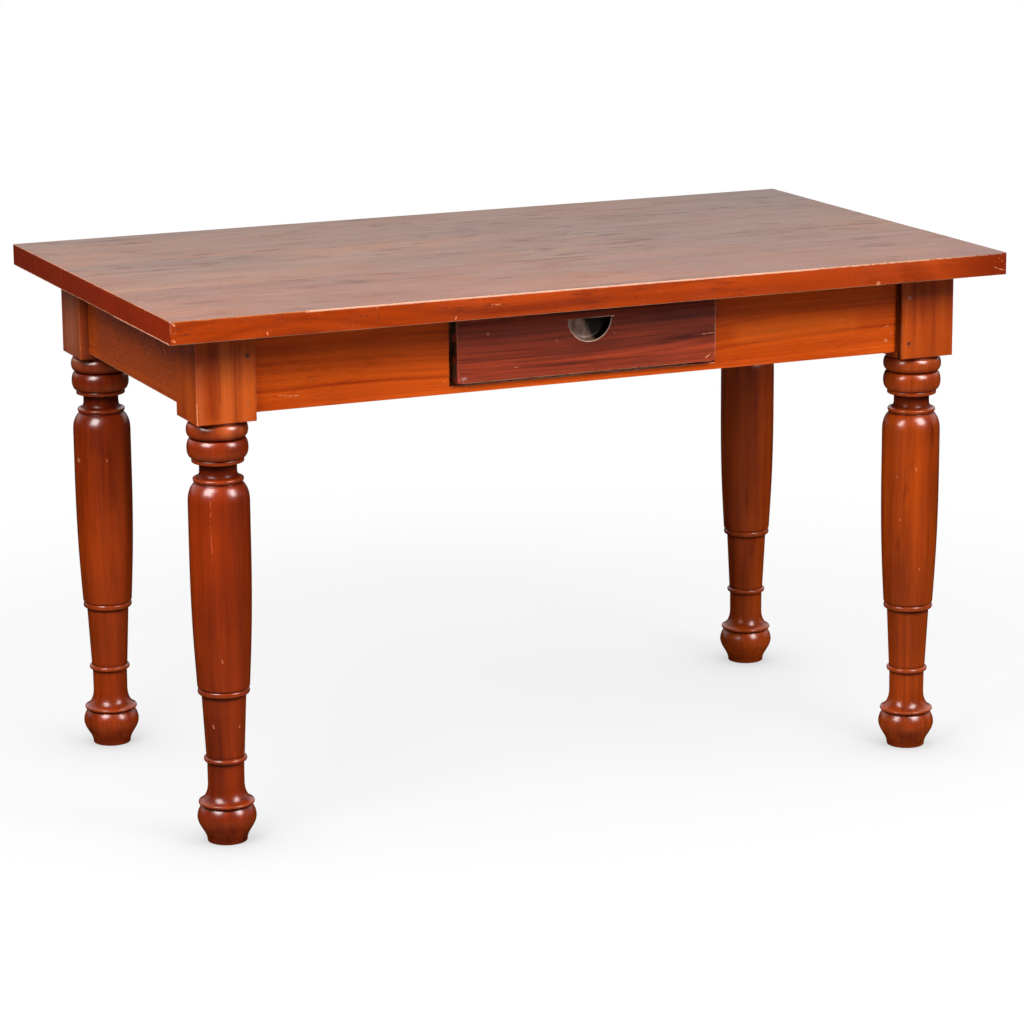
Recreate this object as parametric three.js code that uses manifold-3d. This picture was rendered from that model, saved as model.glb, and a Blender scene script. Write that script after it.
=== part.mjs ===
// A writing table in turned and joined hardwood: four turned legs, four mortised aprons,
// a top of three glued boards and one drawer that runs on wooden bearers.
// Millimetres. X runs along the table, -Y is the drawer side, Z is up.
// The origin is on the floor, under the middle of the top.

import * as THREE from "three";
import { mergeVertices } from "three/addons/utils/BufferGeometryUtils.js";
import Module from "manifold-3d";

const wasm = await Module();
wasm.setup();

// Overall sizes
const tableHeight = 770;
const topLength = 1300;
const topDepth = 740;
const topThickness = 32;
const endOverhang = 55;
const sideOverhang = 60;

// Fits
const seatGap = 0.2;
const jointClearance = 0.3;
const overrun = 5;
const holeSides = 10;

// Top boards
const middleBoardWidth = 240;
const topArris = 2.5;
const arrisSteps = 3;

// Leg block and joints
const legSquare = 87;
const legBlockHeight = 127;
const legSides = 24;
const tenonLength = 48;
const tenonThickness = 10;
const tenonBottomStep = 7;
const tenonTopStep = 24;
const mortiseExtraDepth = 1;
const pegRadius = 3;
const pegLength = 44;
const pegStandOut = 0.4;
const pegInset = 12;
const lowerPegRise = 14;
const upperPegDrop = 35;

// Leg turning: heights from the floor up
const bunRise = 55;
const bunWaistRise = 38.5;
const collarRimRise = 7;
const collarRise = 29;
const ankleRise = 34.5;
const ankleRingRise = 7.5;
const calfRise = 90.5;
const kneeRingRise = 9;
const kneeGrooveRise = 3.5;
const shaftFullRise = 64;
const shoulderRise = 27.5;
const throatRimRise = 5.5;
const throatCoveRise = 10;
const neckRise = 11.5;
const discSlopeRise = 2.5;
const discRise = 8;
const lowerTorusRise = 29.2;
const upperTorusRise = 21.5;
const blockSeatRise = 3.8;

// Leg turning: radii from the floor up
const soleRadius = 28;
const bunRadius = 42;
const bunTopRadius = 36.3;
const collarRadius = 39.3;
const ankleRadius = 26;
const ankleRingRadius = 30.7;
const calfBottomRadius = 27.2;
const calfTopRadius = 31.6;
const kneeRingRadius = 36.9;
const kneeGrooveRadius = 35.5;
const shaftBottomRadius = 37.2;
const shaftRadius = 43.4;
const throatGrooveRadius = 33.4;
const throatRimRadius = 35.7;
const neckRadius = 26.4;
const discRadius = 36.8;
const lowerTorusRadius = 43.1;
const torusGrooveRadius = 36.5;
const upperTorusRadius = 43.3;
const blockSeatRadius = 38.5;

// Handles of each turned curve, as shares of its change of radius and of its rise
const bunFootShares = [0.1, 0.3, 1, 0.66];
const bunTopShares = [0, 0.42, 0.45, 0.85];
const collarRimShares = [0.7, 0.2, 1, 0.6];
const collarCoveShares = [0.7, 0.08, 1, 0.35];
const shaftShares = [0.5, 0.27, 1, 0.5];
const shoulderShares = [0, 0.45, 0.35, 0.78];
const throatRimShares = [0.8, 0.1, 1, 0.6];
const throatCoveShares = [0.7, 0.1, 1, 0.4];

// Aprons
const apronHeight = 118;
const apronThickness = 22;
const longApronSetback = 15;
const endApronSetback = 14;

// Drawer opening and drawer
const openingWidth = 418;
const openingOffset = -5;
const stripHeight = 10.5;
const drawerWidth = 406;
const drawerOffset = -2;
const drawerRearSpace = 117;
const drawerProud = 9;
const drawerRise = 4;
const drawerTopGap = 2.5;
const frontThickness = 20;
const frontWornCorner = 6;
const sideThickness = 12;
const sideTopDrop = 4;
const tailLength = 14;
const tailCount = 3;
const tailRootShare = 0.55;
const tailEndShare = 0.7;
const panelThickness = 8;
const panelRise = 8;
const grooveDepth = 6;
const backThickness = 12;
const backInset = 10;
const backDado = 5;
const backTopDrop = 10;
const panelTail = 4;
const pullRadius = 33.5;
const pullOffset = 2.5;
const pullTopDrop = 22;
const pullDepth = 14;
const pullSides = 16;

// Bearers that the drawer runs on
const bearerWidth = 22;
const guideThickness = 18;
const guideHeight = 40;
const guideClearance = 1.5;
const bearerHousing = 6;
const runClearance = 0.3;
const stopWidth = 16;
const stopLength = 30;
const stopHeight = 18;

// Buttons that hold the top
const buttonWidth = 40;
const buttonLength = 42;
const buttonThickness = 20;
const tongueLength = 7.5;
const tongueThickness = 8;
const tongueRise = 3;
const buttonSpacing = 361;

// Fasteners
const screwLength = 36;
const screwRadius = 2;
const screwHeadRadius = 4.2;
const screwHeadDepth = 2.6;
const screwSlotWidth = 0.9;
const screwSlotDepth = 1.1;
const screwClearance = 0.15;
const nailLength = 24;
const nailRadius = 1.1;
const nailHeadRadius = 2.3;
const nailHeadDepth = 0.8;
const nailClearance = 0.15;
const nailSpacing = 120;

// Places worked out from the sizes above
const undersideHeight = tableHeight - topThickness;
const frameTopHeight = undersideHeight - seatGap;
const turnedHeight = undersideHeight - legBlockHeight;
const apronBottomHeight = undersideHeight - apronHeight;
const legX = topLength / 2 - endOverhang - legSquare / 2;
const legY = topDepth / 2 - sideOverhang - legSquare / 2;
const longApronY = topDepth / 2 - sideOverhang - longApronSetback - apronThickness / 2;
const endApronX = topLength / 2 - endOverhang - endApronSetback - apronThickness / 2;
const longApronLength = 2 * legX - legSquare - 2 * seatGap;
const endApronLength = 2 * legY - legSquare - 2 * seatGap;
const tenonBottom = apronBottomHeight + tenonBottomStep;
const tenonTop = undersideHeight - tenonTopStep;
const pegHeights = [apronBottomHeight + lowerPegRise, undersideHeight - upperPegDrop];
const openingBottom = apronBottomHeight + stripHeight;
const drawerBottom = openingBottom + drawerRise;
const frontHeight = undersideHeight - drawerTopGap - drawerBottom;
const drawerFaceY = -(longApronY + apronThickness / 2 + drawerProud);
const bearerSpan = 2 * longApronY - apronThickness;
const drawerDepth = drawerProud + apronThickness + bearerSpan - drawerRearSpace;
const sideLength = drawerDepth - frontThickness;
const sideHeight = frontHeight - sideTopDrop;
const sideX = drawerWidth / 2 - sideThickness / 2;
const panelRear = sideLength - backInset + panelTail;
const bearerTop = drawerBottom - runClearance;
const guideX = drawerWidth / 2 + guideClearance;
const buttonY = longApronY - apronThickness / 2 - buttonLength / 2;
const buttonX = endApronX - apronThickness / 2 - buttonLength / 2;

// Finishes
const polishedTop = { color: 0x8f3a1e, roughness: 0.3, metalness: 0 };
const polishedLeg = { color: 0x7d2a12, roughness: 0.28, metalness: 0 };
const polishedApron = { color: 0x9c3d14, roughness: 0.35, metalness: 0 };
const darkFront = { color: 0x5e2216, roughness: 0.45, metalness: 0 };
const bareWood = { color: 0x9a7350, roughness: 0.75, metalness: 0 };
const pegWood = { color: 0x4d2212, roughness: 0.5, metalness: 0 };
const darkIron = { color: 0x3a3734, roughness: 0.55, metalness: 0.9 };

// A closed geometry as a solid that can be joined and cut.
function solidOf(geometry) {
  const bare = geometry.clone();
  bare.deleteAttribute("normal");
  bare.deleteAttribute("uv");
  const merged = mergeVertices(bare);
  const index = merged.index.array;
  const corners = [];
  for (let i = 0; i < index.length; i += 3) {
    const [a, b, c] = index.slice(i, i + 3);
    if (a !== b && b !== c && c !== a) corners.push(a, b, c);
  }
  const triVerts = new Uint32Array(corners);
  const vertProperties = new Float32Array(merged.attributes.position.array);
  return new wasm.Manifold(new wasm.Mesh({ numProp: 3, vertProperties, triVerts }));
}

// The geometry of a solid.
function geometryOf(solid) {
  const mesh = solid.getMesh();
  const geometry = new THREE.BufferGeometry();
  geometry.setAttribute("position", new THREE.BufferAttribute(mesh.vertProperties, 3));
  geometry.setIndex(new THREE.BufferAttribute(mesh.triVerts, 1));
  geometry.computeVertexNormals();
  return geometry;
}

// A block between two values on each axis.
function block([x0, x1], [y0, y1], [z0, z1]) {
  const geometry = new THREE.BoxGeometry(x1 - x0, y1 - y0, z1 - z0);
  geometry.translate((x0 + x1) / 2, (y0 + y1) / 2, (z0 + z1) / 2);
  return solidOf(geometry);
}

// A round rod that stands on a height, along Z.
function rod(radius, low, high, sides) {
  const geometry = new THREE.CylinderGeometry(radius, radius, high - low, sides);
  geometry.rotateX(Math.PI / 2);
  geometry.translate(0, 0, (low + high) / 2);
  return solidOf(geometry);
}

// A turned solid from its outline of radii and heights.
function turned(outline, sides) {
  const geometry = new THREE.LatheGeometry(outline, sides);
  geometry.rotateX(Math.PI / 2);
  return solidOf(geometry);
}

// A flat outline, pushed along Z.
function pushed(shape, depth, curveSegments) {
  return solidOf(new THREE.ExtrudeGeometry(shape, { depth, curveSegments, bevelEnabled: false }));
}

function outlineShape(points) {
  return new THREE.Shape(points.map(([x, y]) => new THREE.Vector2(x, y)));
}

// A straight turned stretch up to a radius.
function taper(outline, radius, rise) {
  const start = outline[outline.length - 1];
  outline.push(new THREE.Vector2(radius, start.y + rise));
}

// A curved turned stretch up to a radius, bent by its two handles.
function swell(outline, radius, rise, handleShares, steps) {
  const start = outline[outline.length - 1];
  const end = new THREE.Vector2(radius, start.y + rise);
  const [r1, z1, r2, z2] = handleShares;
  const handle = (r, z) =>
    new THREE.Vector2(start.x + (end.x - start.x) * r, start.y + (end.y - start.y) * z);
  const curve = new THREE.CubicBezierCurve(start, handle(r1, z1), handle(r2, z2), end);
  outline.push(...curve.getPoints(steps).slice(1));
}

// A half-round ring that swells to a radius and closes on another.
function bead(outline, radius, endRadius, rise, steps) {
  const start = outline[outline.length - 1];
  for (let i = 1; i <= steps; i += 1) {
    const share = (1 - Math.cos((Math.PI * i) / steps)) / 2;
    const base = start.x + (endRadius - start.x) * share;
    const bulge = (radius - base) * Math.sin((Math.PI * i) / steps);
    outline.push(new THREE.Vector2(base + bulge, start.y + rise * share));
  }
}

// The outline of a leg from the floor to just inside its square block.
function legOutline() {
  const outline = [new THREE.Vector2(0, 0), new THREE.Vector2(soleRadius, 0)];
  swell(outline, bunRadius, bunWaistRise, bunFootShares, 5);
  swell(outline, bunTopRadius, bunRise - bunWaistRise, bunTopShares, 3);
  swell(outline, collarRadius, collarRimRise, collarRimShares, 2);
  swell(outline, ankleRadius, collarRise - collarRimRise, collarCoveShares, 4);
  taper(outline, ankleRadius, ankleRise);
  bead(outline, ankleRingRadius, calfBottomRadius, ankleRingRise, 4);
  taper(outline, calfTopRadius, calfRise);
  bead(outline, kneeRingRadius, kneeGrooveRadius, kneeRingRise, 4);
  taper(outline, shaftBottomRadius, kneeGrooveRise);
  const risen = outline[outline.length - 1].y;
  const throatRise = shoulderRise + throatRimRise + throatCoveRise + neckRise;
  const headRise = discRise + lowerTorusRise + upperTorusRise + blockSeatRise;
  const shaftRise = turnedHeight - risen - throatRise - headRise;
  swell(outline, shaftRadius, shaftRise - shaftFullRise, shaftShares, 5);
  taper(outline, shaftRadius, shaftFullRise);
  swell(outline, throatGrooveRadius, shoulderRise, shoulderShares, 4);
  swell(outline, throatRimRadius, throatRimRise, throatRimShares, 2);
  swell(outline, neckRadius, throatCoveRise, throatCoveShares, 4);
  taper(outline, neckRadius, neckRise);
  taper(outline, discRadius, discSlopeRise);
  taper(outline, discRadius, discRise - discSlopeRise);
  bead(outline, lowerTorusRadius, torusGrooveRadius, lowerTorusRise, 6);
  bead(outline, upperTorusRadius, blockSeatRadius, upperTorusRise, 5);
  taper(outline, blockSeatRadius, blockSeatRise + overrun);
  outline.push(new THREE.Vector2(0, outline[outline.length - 1].y));
  return outline;
}

// The socket for one tenon, cut into a block from the side that faces the table's middle.
function mortise(inward, alongX, tenonCentre) {
  const half = legSquare / 2;
  const depth = half - tenonLength - mortiseExtraDepth;
  const run = [inward * depth, inward * (half + overrun)].sort((a, b) => a - b);
  const cheek = tenonThickness / 2 + jointClearance;
  const wall = [tenonCentre - cheek, tenonCentre + cheek];
  const rise = [tenonBottom - jointClearance, tenonTop + jointClearance];
  return alongX ? block(run, wall, rise) : block(wall, run, rise);
}

// One leg, in its own frame on its own axis. sideX and sideY say on which corner it stands.
function legGeometry(sideX, sideY) {
  const half = legSquare / 2;
  const square = block([-half, half], [-half, half], [turnedHeight, frameTopHeight]);
  let leg = turned(legOutline(), legSides).add(square);
  leg = leg.subtract(mortise(-sideX, true, sideY * (longApronY - legY)));
  leg = leg.subtract(mortise(-sideY, false, sideX * (endApronX - legX)));
  for (const height of pegHeights) {
    const hole = pegHole().rotate([0, 0, sideY < 0 ? 0 : 180]);
    const x = -sideX * (half - pegInset);
    leg = leg.subtract(hole.translate([x, sideY * half, height]));
  }
  return geometryOf(leg);
}

// A peg lies along Y from the face of its block, which is at zero, into the block.
function pegGeometry() {
  const peg = rod(pegRadius, -pegStandOut, pegLength, holeSides);
  return geometryOf(peg.rotate([-90, 0, 0]));
}

function pegHole() {
  const radius = pegRadius + jointClearance / 2;
  return rod(radius, -overrun, pegLength + jointClearance, holeSides).rotate([-90, 0, 0]);
}

// An apron board along X with a tenon at each end, its outer face towards -Y.
function apronSolid(length) {
  const half = length / 2;
  const thick = apronThickness / 2;
  const board = block([-half, half], [-thick, thick], [apronBottomHeight, frameTopHeight]);
  const reach = half + seatGap + tenonLength;
  const cheek = tenonThickness / 2;
  const tenons = block([-reach, reach], [-cheek, cheek], [tenonBottom, tenonTop]);
  return board.add(tenons);
}

// The slot in an apron's inner face that takes one button's tongue.
function buttonSlot(x) {
  const half = buttonWidth / 2 + jointClearance;
  const low = frameTopHeight - buttonThickness + tongueRise;
  const depth = apronThickness / 2 - tongueLength - jointClearance;
  const rise = [low - jointClearance, low + tongueThickness + jointClearance];
  return block([x - half, x + half], [depth, apronThickness / 2 + overrun], rise);
}

// The housing in a long apron's inner face that takes one bearer's end.
function bearerHousingCut(side) {
  const inner = guideX - bearerWidth - jointClearance;
  const outer = guideX + guideThickness + jointClearance;
  const x = [side * inner + drawerOffset, side * outer + drawerOffset].sort((a, b) => a - b);
  const depth = apronThickness / 2 - bearerHousing - jointClearance;
  const rise = [apronBottomHeight - overrun, apronBottomHeight + guideHeight + jointClearance];
  return block(x, [depth, apronThickness / 2 + overrun], rise);
}

function pegCuts(solid, length) {
  let cut = solid;
  for (const end of [-1, 1]) {
    for (const height of pegHeights) {
      const x = end * (length / 2 + seatGap + pegInset);
      cut = cut.subtract(pegHole().translate([x, -pegLength / 2, height]));
    }
  }
  return cut;
}

function longApronGeometry(withOpening, buttonPlaces) {
  let apron = pegCuts(apronSolid(longApronLength), longApronLength);
  const mirror = withOpening ? 1 : -1;
  for (const side of [-1, 1]) apron = apron.subtract(bearerHousingCut(side).scale([mirror, 1, 1]));
  for (const x of buttonPlaces) apron = apron.subtract(buttonSlot(x));
  if (withOpening) {
    const half = openingWidth / 2;
    const x = [openingOffset - half, openingOffset + half];
    const y = [-apronThickness, apronThickness];
    apron = apron.subtract(block(x, y, [openingBottom, undersideHeight + overrun]));
  }
  return geometryOf(apron);
}

function endApronGeometry() {
  return geometryOf(apronSolid(endApronLength).subtract(buttonSlot(0)));
}

// A board of the top. Its long edges are rounded where they are the table's edges, and each
// other one stops half a gap short of the glue line.
function boardGeometry(width, roundFront, roundRear, screwPlaces) {
  const front = -width / 2 + (roundFront ? 0 : seatGap / 2);
  const rear = width / 2 - (roundRear ? 0 : seatGap / 2);
  const points = [];
  const corner = (y, z, turn, round) => {
    if (!round) {
      points.push([y, z]);
      return;
    }
    const cy = y - Math.sign(y) * topArris;
    const cz = z === 0 ? topArris : z - topArris;
    for (let i = 0; i <= arrisSteps; i += 1) {
      const angle = turn + (Math.PI / 2) * (i / arrisSteps);
      points.push([cy + topArris * Math.cos(angle), cz + topArris * Math.sin(angle)]);
    }
  };
  corner(front, 0, Math.PI, roundFront);
  corner(rear, 0, -Math.PI / 2, roundRear);
  corner(rear, topThickness, 0, roundRear);
  corner(front, topThickness, Math.PI / 2, roundFront);
  let board = pushed(outlineShape(points), topLength, arrisSteps);
  board = board.rotate([90, 0, 90]).translate([-topLength / 2, 0, 0]);
  const pilotDepth = screwLength - buttonThickness + screwClearance;
  for (const [x, y] of screwPlaces) {
    const pilot = rod(screwRadius + screwClearance, -overrun, pilotDepth, holeSides);
    board = board.subtract(pilot.translate([x, y, 0]));
  }
  return geometryOf(board);
}

// A button in its own frame: its tongue points to -Y, its top is at zero.
function buttonGeometry() {
  const wide = buttonWidth / 2;
  const long = buttonLength / 2;
  const x = [-wide, wide];
  const low = -buttonThickness;
  const body = block(x, [-long + seatGap, long], [low, 0]);
  const tongueY = [-long - tongueLength, long];
  const tongue = block(x, tongueY, [low + tongueRise, low + tongueRise + tongueThickness]);
  const hole = screwSolid(screwClearance).translate([0, 0, low]);
  return geometryOf(body.add(tongue).subtract(hole));
}

// A countersunk screw that points up, with its head's face at zero.
function screwSolid(clearance) {
  const head = screwHeadRadius + clearance;
  const shank = screwRadius + clearance;
  const outline = [
    [0, -clearance],
    [head, -clearance],
    [head, clearance],
    [shank, screwHeadDepth + clearance],
    [shank, screwLength - screwRadius],
    [0, screwLength + clearance],
  ];
  return turned(outline.map(([r, z]) => new THREE.Vector2(r, z)), holeSides);
}

function screwGeometry() {
  const wide = screwHeadRadius + overrun;
  const thin = screwSlotWidth / 2;
  const slot = block([-wide, wide], [-thin, thin], [-overrun, screwSlotDepth]);
  const outline = [
    [0, 0],
    [screwHeadRadius, 0],
    [screwRadius, screwHeadDepth],
    [screwRadius, screwLength - 2 * screwRadius],
    [0, screwLength],
  ];
  const body = turned(outline.map(([r, z]) => new THREE.Vector2(r, z)), holeSides);
  return geometryOf(body.subtract(slot));
}

// A nail that points up, with its head below zero.
function nailGeometry() {
  const head = rod(nailHeadRadius, -nailHeadDepth, -nailClearance, holeSides);
  const shank = rod(nailRadius, -nailHeadDepth / 2, nailLength, holeSides);
  return geometryOf(head.add(shank));
}

function nailHole() {
  return rod(nailRadius + nailClearance, -overrun, nailLength + nailClearance, holeSides);
}

// The tails on a drawer side's front end, in the side's frame: Y from the front's back face.
function tails(clearance) {
  const pitch = sideHeight / tailCount;
  const root = (pitch * tailRootShare) / 2 + clearance;
  const end = (pitch * tailEndShare) / 2 + clearance;
  const thick = sideThickness + 2 * clearance;
  let all = null;
  for (let i = 0; i < tailCount; i += 1) {
    const middle = pitch * (i + 1 / 2);
    const points = [
      [overrun, middle - root],
      [overrun, middle + root],
      [0, middle + root],
      [-tailLength - clearance, middle + end],
      [-tailLength - clearance, middle - end],
      [0, middle - root],
    ];
    const tail = pushed(outlineShape(points.reverse()), thick, 1);
    all = all ? all.add(tail) : tail;
  }
  return all.rotate([90, 0, 90]).translate([-thick / 2, 0, 0]);
}

// The drawer's frame: X from its middle, Y from the back of its front, Z from its lower edge.
function drawerFrontGeometry() {
  const half = drawerWidth / 2;
  const shape = new THREE.Shape();
  shape.moveTo(-half, 0);
  shape.lineTo(half - frontWornCorner, 0);
  shape.absarc(half - frontWornCorner, frontWornCorner, frontWornCorner, -Math.PI / 2, 0);
  shape.lineTo(half, frontHeight);
  shape.lineTo(-half, frontHeight);
  let front = pushed(shape, frontThickness, arrisSteps).rotate([90, 0, 0]);
  for (const side of [-1, 1]) {
    const socket = tails(jointClearance).translate([side * sideX, 0, 0]);
    front = front.subtract(socket);
  }
  front = front.subtract(panelSolid(jointClearance, panelRear));
  return geometryOf(front.subtract(fingerPull()));
}

// The half-moon finger pull, cut into the drawer's face.
function fingerPull() {
  const shape = new THREE.Shape();
  shape.absarc(0, 0, pullRadius, Math.PI, 2 * Math.PI);
  shape.lineTo(-pullRadius, 0);
  const moon = pushed(shape, pullDepth + overrun, pullSides).rotate([90, 0, 0]);
  const y = -frontThickness + pullDepth;
  return moon.translate([pullOffset, y, frontHeight - pullTopDrop]);
}

// The drawer's panel, or with a clearance the groove that takes it, up to a rear end.
function panelSolid(clearance, rear) {
  const wide = drawerWidth / 2 - sideThickness + grooveDepth - jointClearance + clearance;
  const front = -grooveDepth + jointClearance - clearance;
  const rise = [panelRise - clearance, panelRise + panelThickness + clearance];
  return block([-wide, wide], [front, rear], rise);
}

function drawerSideGeometry(side) {
  const thick = sideThickness / 2;
  const board = block([-thick, thick], [seatGap, sideLength], [0, sideHeight]).add(tails(0));
  const middle = [-side * sideX, 0, 0];
  const groove = panelSolid(jointClearance, sideLength + overrun).translate(middle);
  const dado = backSolid(jointClearance).translate(middle);
  return geometryOf(board.subtract(groove).subtract(dado));
}

function backSolid(clearance) {
  const wide = drawerWidth / 2 - sideThickness + backDado - jointClearance + clearance;
  const rear = sideLength - backInset;
  const y = [rear - backThickness - clearance, rear + clearance];
  const low = panelRise + panelThickness + seatGap - clearance;
  return block([-wide, wide], y, [low, sideHeight - backTopDrop + clearance]);
}

function drawerBackGeometry() {
  let back = backSolid(0);
  for (const place of nailPlaces()) back = back.subtract(nailHole().translate(place));
  return geometryOf(back);
}

function drawerPanelGeometry() {
  let panel = panelSolid(0, panelRear);
  for (const place of nailPlaces()) panel = panel.subtract(nailHole().translate(place));
  return geometryOf(panel);
}

// Where the nails go up through the panel into the back.
function nailPlaces() {
  const y = sideLength - backInset - backThickness / 2;
  return [-nailSpacing, 0, nailSpacing].map((x) => [x, y, panelRise]);
}

// A bearer along Y: the drawer side runs on its ledge, beside its guide.
function bearerGeometry(side) {
  const span = bearerSpan / 2 + bearerHousing;
  const ledge = [side * (guideX - bearerWidth), side * guideX].sort((a, b) => a - b);
  const guide = [side * guideX, side * (guideX + guideThickness)].sort((a, b) => a - b);
  const base = block([ledge[0], ledge[1]], [-span, span], [apronBottomHeight, bearerTop]);
  const top = apronBottomHeight + guideHeight;
  const wall = block([guide[0], guide[1]], [-span, span], [apronBottomHeight, top]);
  return geometryOf(base.add(wall));
}

function stopGeometry() {
  return geometryOf(block([-stopWidth / 2, stopWidth / 2], [0, stopLength], [0, stopHeight]));
}

// Puts one named piece into a group.
function place(group, name, geometry, finish, position, turnZ = 0) {
  const mesh = new THREE.Mesh(geometry, new THREE.MeshStandardMaterial(finish));
  mesh.name = name;
  mesh.position.set(...position);
  mesh.rotation.z = turnZ;
  group.add(mesh);
}

// The places of the buttons: name, centre, and the turn that points the tongue at its apron.
function buttonPlaces() {
  const half = Math.PI / 2;
  return [
    ["front_left", -buttonSpacing, -buttonY, 0],
    ["front_right", buttonSpacing, -buttonY, 0],
    ["rear_left", -buttonSpacing, buttonY, Math.PI],
    ["rear_middle", 0, buttonY, Math.PI],
    ["rear_right", buttonSpacing, buttonY, Math.PI],
    ["end_left", -buttonX, 0, -half],
    ["end_right", buttonX, 0, half],
  ];
}

function topGroup() {
  const group = new THREE.Group();
  group.position.z = undersideHeight;
  const outerWidth = (topDepth - middleBoardWidth) / 2;
  const outerY = (middleBoardWidth + outerWidth) / 2;
  const boards = [
    ["front", outerWidth, -outerY, true, false],
    ["middle", middleBoardWidth, 0, false, false],
    ["rear", outerWidth, outerY, false, true],
  ];
  for (const [name, width, y, roundFront, roundRear] of boards) {
    const near = buttonPlaces().filter((spot) => Math.abs(spot[2] - y) < width / 2);
    const screws = near.map((spot) => [spot[1], spot[2] - y]);
    const geometry = boardGeometry(width, roundFront, roundRear, screws);
    place(group, `top_board_${name}`, geometry, polishedTop, [0, y, 0]);
  }
  return group;
}

function buttonGroup() {
  const group = new THREE.Group();
  group.position.z = frameTopHeight;
  for (const [name, x, y, turnZ] of buttonPlaces()) {
    place(group, `top_button_${name}`, buttonGeometry(), bareWood, [x, y, 0], turnZ);
    const head = [x, y, -buttonThickness];
    place(group, `button_screw_${name}`, screwGeometry(), darkIron, head, turnZ);
  }
  return group;
}

function legGroup() {
  const group = new THREE.Group();
  for (const [depthName, sideY] of [["front", -1], ["rear", 1]]) {
    for (const [sideName, sideX] of [["left", -1], ["right", 1]]) {
      const corner = `${depthName}_${sideName}`;
      const at = [sideX * legX, sideY * legY, 0];
      place(group, `leg_${corner}`, legGeometry(sideX, sideY), polishedLeg, at);
      const pegX = sideX * (legX - legSquare / 2 + pegInset);
      const pegY = sideY * (legY + legSquare / 2);
      const turnZ = sideY < 0 ? 0 : Math.PI;
      for (const [level, height] of [["lower", pegHeights[0]], ["upper", pegHeights[1]]]) {
        place(group, `peg_${corner}_${level}`, pegGeometry(), pegWood, [pegX, pegY, height], turnZ);
      }
    }
  }
  return group;
}

function apronGroup() {
  const group = new THREE.Group();
  const sides = [-buttonSpacing, buttonSpacing];
  const front = longApronGeometry(true, sides);
  place(group, "apron_front", front, polishedApron, [0, -longApronY, 0]);
  const rear = longApronGeometry(false, [0, ...sides]);
  place(group, "apron_rear", rear, polishedApron, [0, longApronY, 0], Math.PI);
  const end = endApronGeometry();
  place(group, "apron_left", end, polishedApron, [-endApronX, 0, 0], -Math.PI / 2);
  place(group, "apron_right", end.clone(), polishedApron, [endApronX, 0, 0], Math.PI / 2);
  return group;
}

function bearerGroup() {
  const group = new THREE.Group();
  group.position.x = drawerOffset;
  const stopX = guideX - bearerWidth / 2;
  const stopY = drawerFaceY + drawerDepth + jointClearance;
  for (const [name, side] of [["left", -1], ["right", 1]]) {
    place(group, `drawer_bearer_${name}`, bearerGeometry(side), bareWood, [0, 0, 0]);
    const at = [side * stopX, stopY, bearerTop + seatGap];
    place(group, `drawer_stop_${name}`, stopGeometry(), bareWood, at);
  }
  return group;
}

function drawerGroup() {
  const group = new THREE.Group();
  group.position.set(drawerOffset, drawerFaceY + frontThickness, drawerBottom);
  place(group, "drawer_front", drawerFrontGeometry(), darkFront, [0, 0, 0]);
  place(group, "drawer_side_left", drawerSideGeometry(-1), bareWood, [-sideX, 0, 0]);
  place(group, "drawer_side_right", drawerSideGeometry(1), bareWood, [sideX, 0, 0]);
  place(group, "drawer_back", drawerBackGeometry(), bareWood, [0, 0, 0]);
  place(group, "drawer_panel", drawerPanelGeometry(), bareWood, [0, 0, 0]);
  nailPlaces().forEach((spot, i) => {
    place(group, `panel_nail_${i + 1}`, nailGeometry(), darkIron, spot);
  });
  return group;
}

const table = new THREE.Group();
table.add(topGroup(), buttonGroup(), legGroup(), apronGroup(), bearerGroup(), drawerGroup());

export default table;
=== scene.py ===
"""The looks of a joined writing table: polished hardwood on the outside, bare wood within.

Metres. X runs along the table, -Y is the drawer side, Z is up, and the origin is on the floor
under the middle of the top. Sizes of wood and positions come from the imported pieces.
"""

import math
import random

import bmesh
import bpy
from mathutils import Matrix, Vector


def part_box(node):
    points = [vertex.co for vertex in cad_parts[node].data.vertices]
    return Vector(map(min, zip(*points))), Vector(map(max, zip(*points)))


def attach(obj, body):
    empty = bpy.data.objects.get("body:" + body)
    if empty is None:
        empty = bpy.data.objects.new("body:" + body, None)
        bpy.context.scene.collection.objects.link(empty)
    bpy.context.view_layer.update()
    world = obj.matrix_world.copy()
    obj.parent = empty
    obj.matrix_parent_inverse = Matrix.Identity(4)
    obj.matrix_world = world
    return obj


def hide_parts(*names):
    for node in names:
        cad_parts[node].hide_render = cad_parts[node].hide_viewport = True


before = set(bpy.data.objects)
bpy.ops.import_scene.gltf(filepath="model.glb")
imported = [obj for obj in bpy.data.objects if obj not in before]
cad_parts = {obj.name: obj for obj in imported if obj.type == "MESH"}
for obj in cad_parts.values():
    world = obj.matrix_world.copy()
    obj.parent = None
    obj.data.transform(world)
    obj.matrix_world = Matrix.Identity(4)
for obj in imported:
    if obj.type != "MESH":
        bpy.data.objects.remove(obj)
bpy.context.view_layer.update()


# The camera stands to the left of the front, a little above the top, and looks down past the
# near corner. Its place and its long lens are worked out from the table's own corners.
CAMERA_PLACE = Vector((-2.176036, -4.962722, 1.642249))
CAMERA_YAW = -0.41506
CAMERA_PITCH = -0.23157
CAMERA_ROLL = -0.00741

camera_data = bpy.data.cameras.new("camera")
camera_data.lens = 128.65
camera_data.sensor_width = 36
camera = bpy.data.objects.new("camera", camera_data)
bpy.context.scene.collection.objects.link(camera)
bpy.context.scene.camera = camera
camera.matrix_world = (
    Matrix.Translation(CAMERA_PLACE) @ Matrix.Rotation(CAMERA_YAW, 4, "Z")
    @ Matrix.Rotation(math.pi / 2 + CAMERA_PITCH, 4, "X") @ Matrix.Rotation(CAMERA_ROLL, 4, "Z")
)
bpy.context.scene.view_settings.view_transform = "Standard"


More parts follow.
